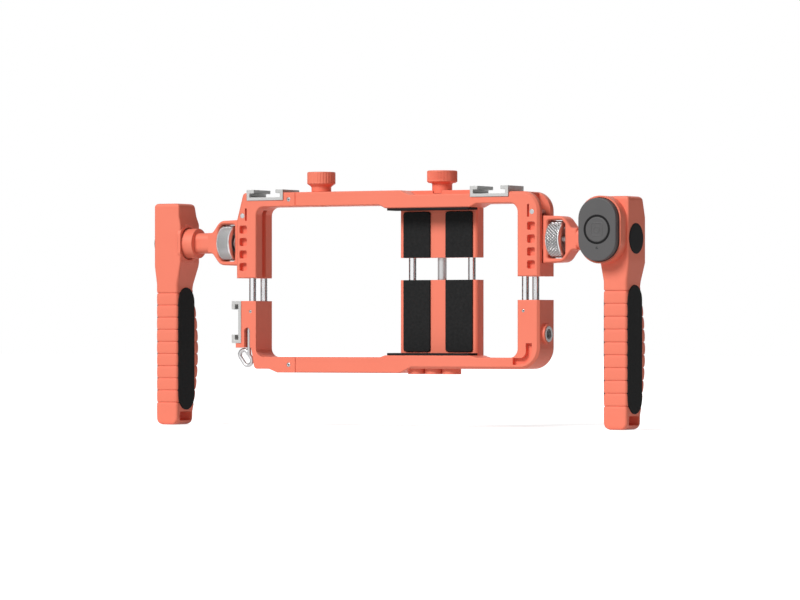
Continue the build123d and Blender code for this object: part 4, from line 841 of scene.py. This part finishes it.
lowestGroove = (handleSizes["grooveTop"]
                - handleSizes["groovePitch"] * (handleSizes["grooveCount"] - 1))


def between(z, table):
    # Linear between (z, value) pairs listed from the foot up.
    if z <= table[0][0]:
        return table[0][1]
    for (lowZ, lowValue), (highZ, highValue) in zip(table, table[1:]):
        if z <= highZ:
            return lowValue + (highValue - lowValue) * (z - lowZ) / (highZ - lowZ)
    return table[-1][1]


def roundOff(distance, radius):
    # How far a rounded end draws in at a distance from that end.
    if distance >= radius:
        return 0.0
    return radius - math.sqrt(max(0.0, radius ** 2 - (radius - distance) ** 2))


def handleSection(z):
    # Faces and edge radii of the handle at one height, in mm.
    s = handleSizes
    bulgeTop = s["armLevel"] + s["bulgeHalf"]
    inner = between(z, [(s["foot"], s["gripInner"]), (s["taperFoot"], s["gripInner"]),
                        (s["armLevel"] - s["bulgeHalf"], s["bulge"]), (bulgeTop, s["bulge"]),
                        (bulgeTop + s["bulgeSlope"], s["inner"]), (s["top"], s["inner"])])
    outer = between(z, [(s["foot"], s["gripOuter"]), (s["taperFoot"], s["gripOuter"]),
                        (s["headFoot"], s["outer"]), (s["top"], s["outer"])])
    if s["bellyFoot"] < z < s["waist"]:
        half = (s["waist"] - s["bellyFoot"]) / 2
        rise = s["bellyBack"] - s["waistBack"]
        sweep = (half ** 2 + rise ** 2) / (2 * rise)
        back = s["bellyBack"] - sweep + math.sqrt(sweep ** 2 - (z - s["waist"] + half) ** 2)
    else:
        back = between(z, [(s["foot"], s["footBack"]), (s["bellyFoot"], s["waistBack"]),
                           (s["waist"], s["waistBack"]), (s["headFoot"], s["headBack"]),
                           (s["slantFoot"], s["headBack"]), (s["top"], s["topBack"])])
    if lowestGroove <= z <= s["grooveTop"]:
        share = ((s["grooveTop"] - z) / s["groovePitch"]) % 1.0
        away = min(share, 1 - share) * s["groovePitch"]
        wave = abs(2 * share - 1) ** 3
    else:
        away = min(abs(z - lowestGroove), abs(z - s["grooveTop"]))
        wave = max(0.0, 1 - away / s["waveReach"]) ** 2
    scallop = s["waveDepth"] * wave + s["grooveDepth"] * max(0.0, 1 - away / s["grooveHalf"])
    ends = roundOff(min(s["top"] - z, z - s["foot"]), s["endRound"])
    corner = roundOff(s["top"] - z, s["topRound"]) + roundOff(z - s["foot"], s["footRound"])
    gripShare = between(z, [(s["taperFoot"], 1.0), (s["headFoot"], 0.0)])
    edge = s["headEdge"] + (s["gripEdge"] - s["headEdge"]) * gripShare
    return (inner + scallop + corner, outer - scallop - corner, s["front"] + scallop + ends,
            back - s["rippleDepth"] * wave - ends, edge, s["backEdge"])


def handleRing(z):
    # Four rounded corners, with a few more points along each straight side.
    inner, outer, front, back, edge, rear = handleSection(z)
    corners = ((inner + edge, front + edge, edge, 180), (outer - edge, front + edge, edge, 270),
               (outer - rear, back - rear, rear, 0), (inner + rear, back - rear, rear, 90))
    count = handleSizes["cornerPoints"]
    ring = []
    for x, y, radius, start in corners:
        for step in range(count):
            turn = math.radians(start + 90 * step / (count - 1))
            ring.append((x + radius * math.cos(turn), y + radius * math.sin(turn)))
    dense = []
    for index, (x, y) in enumerate(ring):
        dense.append((x * mm, y * mm, z * mm))
        if index % count == count - 1:
            nextX, nextY = ring[(index + 1) % len(ring)]
            for share in handleSizes["sideShares"]:
                dense.append(((x + (nextX - x) * share) * mm, (y + (nextY - y) * share) * mm,
                              z * mm))
    return dense


def handleLevels():
    # Heights of the rings: closer at the ends and the grooves, and one at every bend.
    s = handleSizes
    start, part, count = s["footRings"]
    levels = {s["foot"] + start + step * step * part for step in range(count)}
    start, part, count = s["topRings"]
    levels |= {s["top"] - start - step * step * part for step in range(count)}
    levels |= {s["grooveTop"] - s["groovePitch"] * (index + share)
               for index in range(s["grooveCount"] - 1) for share in s["grooveShares"]}
    levels |= {lowestGroove - away for away in (0,) + s["grooveAways"]}
    levels |= {s["grooveTop"] + away for away in s["grooveAways"]}
    levels |= {s[bend] for bend in ("waist", "bellyFoot", "taperFoot", "headFoot", "slantFoot")}
    levels |= {s["armLevel"] + away for away in
               (-s["bulgeHalf"], s["bulgeHalf"], s["bulgeHalf"] + s["bulgeSlope"])}
    pitch, count = s["headRings"]
    levels |= {s["headFoot"] + step * pitch for step in range(1, count + 1)}
    return sorted(levels)


def armTurned(name, profile, left, front=None, ends="capped"):
    # A piece turned about the handle's pivot, from (radius, x) in mm, flattened at its front.
    verts, faces = turned("X", (0, handleSizes["armLevel"] * mm),
                          [(radius * mm, x * mm) for radius, x in profile], roundCount, ends)
    if front is not None:
        verts = [(x, max(y, front * mm), z) for x, y, z in verts]
    return bareObject(name, verts, faces, left=left)


def makeHandle(side):
    s = handleSizes
    left = side == "left"
    name = side + "_handle"
    handle = bareObject(name + "Piece", *stacked([handleRing(z) for z in handleLevels()]),
                        left=left)
    outline = roundedRect([half * mm for half in s["slotHalf"]], s["slotRound"] * mm,
                          s["slotSteps"])
    rings = [[(x * mm, y, z + s["slotMiddle"] * mm) for y, z in outline]
             for x in (s["cutFrom"], s["cutTo"])]
    cutAway(handle, bareObject("slotCutter", *stacked(rings), left=left))
    seat = [(s["seatRadius"], s["cutFrom"]), (s["seatRadius"], s["seatFloor"])]
    cutAway(handle, armTurned("seatCutter", seat, left, s["seatFront"]))
    outer, inner, face = s["ringRadius"], s["seatRadius"], s["ringFace"]
    profile = [(inner, s["ringInnerFoot"]), (inner, face + 0.2), (inner + 0.2, face),
               (outer - 0.35, face), (outer - 0.08, face + 0.12), (outer, face + 0.35),
               (outer, s["ringOuterFoot"])]
    ring = armTurned("ringBoss", profile, left, s["ringFront"], "joined")
    whole = joinMeshes(name + "Whole", [handle, ring])
    whole.name = whole.data.name = name + "Piece"
    finishPiece(whole, "anodised_orange", name, (name,), 38.0)


def makePivotCap(side):
    s = handleSizes
    name = side + "_pivot_cap"
    radius, face = s["capRadius"], s["capFace"]
    profile = [(radius, s["capFoot"]), (radius, face - 0.3), (radius - 0.09, face - 0.1),
               (radius - 0.3, face), (radius * 0.5, face), (0.5, face)]
    cap = armTurned(name + "Piece", profile, side == "left")
    finishPiece(cap, "cap_black", side + "_handle", (name,), 40.0)


for side in ("left", "right"):
    makeHandle(side)
    makePivotCap(side)
print("stage: handles lofted")


# steps are (drawn in from the outline, proud of the grip).
padSizes = {
    "shrink": 0.9, "roundSteps": 16,
    "steps": ((0.0, -0.5), (0.0, 0.25), (0.08, 0.45), (0.28, 0.6), (0.6, 0.6), (3.0, 0.6),
              (5.5, 0.6)),
}


def makeGripPads(side):
    name = side + "_grip_pads"
    low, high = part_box(name)
    left = side == "left"
    centre = ((low[1] + high[1]) / 2, (low[2] + high[2]) / 2)
    length, width = high[2] - low[2], high[1] - low[1]
    pads = []
    for face, outward in ((handleSizes["gripOuter"] * mm, 1), (handleSizes["gripInner"] * mm, -1)):
        # The pads that look towards -X, unseen in the photograph, are the smaller ones.
        unseen = (outward > 0) == left
        shrink = padSizes["shrink"] * mm if unseen else 0.0
        rings = []
        for inset, rise in padSizes["steps"]:
            outline = stadium(centre, length - 2 * shrink, width - 2 * shrink, inset * mm,
                              padSizes["roundSteps"])
            rings.append([(face + outward * rise * mm, y, z) for y, z in outline])
        pads.append(bareObject("pad", *stacked(rings), left=left))
    whole = joinMeshes(name + "Piece", pads)
    finishPiece(whole, "rubber_black", side + "_handle", (name,), 50.0)


for side in ("left", "right"):
    makeGripPads(side)
print("stage: grip pads made")


sheetEdges = {"lower_back_pads": 0.35, "upper_back_pads": 0.35, "lower_jaw_pad": 0.25,
              "upper_jaw_pad": 0.25}
sheetSteps, sheetAngle = 3, 40   # bevel segments, and the least angle in degrees that gets them


def makeRubberSheet(name, edge):
    # A copy of a flat pad with its triangles joined and its edges rounded.
    sheet = copiedNode(name, flat=True)
    soften = sheet.modifiers.new("soften", "BEVEL")
    soften.width = edge * mm
    soften.segments = sheetSteps
    soften.limit_method = "ANGLE"
    soften.angle_limit = math.radians(sheetAngle)
    settle(sheet)
    finishPiece(sheet, slotOfNode[name], bodyOfNode[name], (name,), 60.0)


for name, edge in sheetEdges.items():
    makeRubberSheet(name, edge)
print("stage: rubber sheets rounded")


# profile is (radius, behind the face) from the stem's head to the middle of the face.
buttonSizes = {
    "stem": 1.5,
    "profile": ((1.5, 2.4), (6.3, 2.4), (6.3, 0.35), (6.22, 0.15), (6.02, 0.03), (5.6, 0.02),
                (4.725, 0.05), (2.52, 0.08), (0.3, 0.09)),
    "frameHalf": 3.3, "frameRound": 1.1, "frameLine": 0.42, "frameSteps": 6, "frameBase": 0.06,
    "lensRadius": 1.75, "lensLine": 0.38, "lensSteps": 48, "lensBase": 0.07,
    "rise": 0.07, "sink": 0.1,
}


def reliefBand(centre, face, outerPoints, innerPoints):
    # A low raised line between two outlines on a face that looks along -Y.
    rise, sink = buttonSizes["rise"] * mm, buttonSizes["sink"] * mm
    rings = []
    for share, lift in ((0, -sink), (0, rise * 0.5), (1, rise), (2, rise), (3, rise * 0.5),
                        (3, -sink)):
        rings.append([(centre[0] + (a[0] * (3 - share) + b[0] * share) / 3, face - lift,
                       centre[1] + (a[1] * (3 - share) + b[1] * share) / 3)
                      for a, b in zip(outerPoints, innerPoints)])
    return stacked(rings, "open")


def makeButton():
    name = "remote_button"
    low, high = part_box(name)
    s = buttonSizes
    centre = ((low[0] + high[0]) / 2, (low[2] + high[2]) / 2)
    face = low[1]
    profile = [(s["stem"] * mm, high[1])]
    profile += [(radius * mm, face + behind * mm) for radius, behind in s["profile"]]
    parts = [bareObject("buttonBody", *turned("Y", centre, profile, roundCount))]
    frames = [roundedRect(((s["frameHalf"] - line) * mm, (s["frameHalf"] - line) * mm),
                          (s["frameRound"] - line) * mm, s["frameSteps"])
              for line in (0.0, s["frameLine"])]
    circles = [[(reach * mm * math.cos(2 * math.pi * step / s["lensSteps"]),
                 reach * mm * math.sin(2 * math.pi * step / s["lensSteps"]))
                for step in range(s["lensSteps"])]
               for reach in (s["lensRadius"], s["lensRadius"] - s["lensLine"])]
    for label, base, (outer, inner) in (("buttonFrame", s["frameBase"], frames),
                                        ("buttonLens", s["lensBase"], circles)):
        parts.append(bareObject(label, *reliefBand(centre, face + base * mm, outer, inner)))
    whole = joinMeshes(name + "Piece", parts)
    finishPiece(whole, "remote_grey", "shutter_button", (name,), 40.0)


makeButton()
print("stage: shutter button made")


screwSizes = {
    "corner": {"radius": 1.08, "socket": 0.55},
    "set": {"radius": 0.78, "socket": 0.42},
    "plate": {"radius": 2.28, "socket": 1.25},
    "shoe": {"radius": 2.38, "socket": 1.25},
}
# The head as (share of its radius, height in mm, height in radii), the socket as (share of
# its radius, height in mm).
screwShape = {
    "head": ((1.0, -0.6, 0.0), (1.0, 0.0, -0.14), (0.95, 0.0, -0.04), (0.86, 0.0, 0.0)),
    "socket": ((1.08, 0.0), (1.0, -0.06), (1.0, -0.5), (0.05, -0.62)),
    "angleStep": 10,
}


def screwTemplate(radius, socket):
    # A low head with a rounded rim and a six-sided socket, its face at z = 0, looking up.
    def ring(reach, z, sixSided):
        points = []
        for angle in range(0, 360, screwShape["angleStep"]):
            turn = math.radians(angle)
            fold = (math.cos(math.radians(30)) / math.cos(math.radians(angle % 60 - 30))
                    if sixSided else 1.0)
            points.append((reach * fold * math.cos(turn) * mm,
                           reach * fold * math.sin(turn) * mm, z * mm))
        return points

    rings = [ring(share * radius, z + drop * radius, False)
             for share, z, drop in screwShape["head"]]
    rings += [ring(share * socket, z, True) for share, z in screwShape["socket"]]
    return bareObject("screwTemplate", *stacked(rings), 30.0)


def screwHeads(pieceName, kind, body, slot, points, euler, replaced=()):
    template = screwTemplate(**screwSizes[kind])
    heads = rawObject(pieceName, [[value * mm for value in point] for point in points], [])
    runTree(heads, screwTree, slot, {"Screw": template,
                                     "Turn": tuple(math.radians(angle) for angle in euler)})
    discard(template)
    finishPiece(heads, slot, body, replaced, 30.0)


def nodeBox(name):
    # Middle, low and high corner of a node's box, in mm.
    low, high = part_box(name)
    low, high = [value / mm for value in low], [value / mm for value in high]
    return [(first + last) / 2 for first, last in zip(low, high)], low, high


towardsFront, towardsBack = (90, 0, 0), (-90, 0, 0)
# How far the heads stand out of the CAD screws, and how far in from a row's end they sit.
proud = {"corner": 0.03, "set": 0.02, "plate": 0.02, "shoe": 0.03}
inward = {"set": 0.8, "plate": 2.3, "shoe": 2.4}


def endXs(low, high, kind):
    return low[0] + inward[kind], high[0] - inward[kind]


for name, body in (("upper_corner_screw", "upper"), ("lower_corner_screw", "lower")):
    middle, low, high = nodeBox(name)
    screwHeads(name + "Head", "corner", body, "steel",
               [(middle[0], low[1] - proud["corner"], middle[2])], towardsFront, (name,))
middle, low, high = nodeBox("rod_set_screws")
setXs = endXs(low, high, "set")
screwHeads("setScrewsFront", "set", "lower", "steel",
           [(x, low[1] - proud["set"], middle[2]) for x in setXs], towardsFront,
           ("rod_set_screws",))
screwHeads("setScrewsBack", "set", "lower", "steel",
           [(x, high[1] + proud["set"], middle[2]) for x in setXs], towardsBack)
for name, body in (("upper_plate_screws", "upper"), ("lower_plate_screws", "lower")):
    middle, low, high = nodeBox(name)
    screwHeads(name + "Heads", "plate", body, slotOfNode[name],
               [(x, high[1] + proud["plate"], middle[2]) for x in endXs(low, high, "plate")],
               towardsBack)
middle, low, high = nodeBox("top_shoe_screws")
screwHeads("topShoeScrewHeads", "shoe", "upper", slotOfNode["top_shoe_screws"],
           [(x, 0, high[2] + proud["shoe"]) for x in endXs(low, high, "shoe")], (0, 0, 0))
middle, low, high = nodeBox("side_shoe_screw")
screwHeads("sideShoeScrewHead", "shoe", "lower", slotOfNode["side_shoe_screw"],
           [(low[0] - proud["shoe"], 0, middle[2])], (0, -90, 0))


def makeThread(pieceName, length, mouth, turn=0, axis="X"):
    thread = linked(pieceName, bpy.data.meshes.new(pieceName))
    runTree(thread, threadTree, "steel", {
        "Radius": threadSizes["radius"] * mm, "Length": length * mm,
        "Turns": length / threadSizes["pitch"], "Ridge": threadSizes["ridge"] * mm})
    thread.data.transform(Matrix.Translation([value * mm for value in mouth])
                          @ Matrix.Rotation(math.radians(turn), 4, axis))
    return thread


threads = [makeThread("thread", threadSizes["tripodLength"], mouth)
           for mouth in threadSizes["tripodMouths"]]
finishPiece(joinMeshes("tripodThreads", threads), "steel", "lower", (), 30.0)
sideThread = makeThread("sideThread", threadSizes["sideLength"], threadSizes["sideMouth"], -90,
                        "Y")
finishPiece(sideThread, "steel", "lower", (), 30.0)
print("stage: screws and threads made")


copiedNodes = [
    "lower_frame", "lower_left_corner", "lower_back_plate", "side_guide_rods",
    "middle_guide_rods", "tripod_inserts", "side_insert", "side_cold_shoe",
    "upper_frame", "upper_left_corner", "upper_back_plate", "left_cold_shoe",
    "right_cold_shoe", "strap_pins", "lead_screw", "left_arm", "right_arm",
    "remote_cup", "remote_case", "remote_base", "button_ring", "status_led",
]
for nodeName in copiedNodes:
    dressedCopy(nodeName)
dressedCopy("strap_loop", slot="steel")
print("stage: copies dressed,", len(copiedNodes))
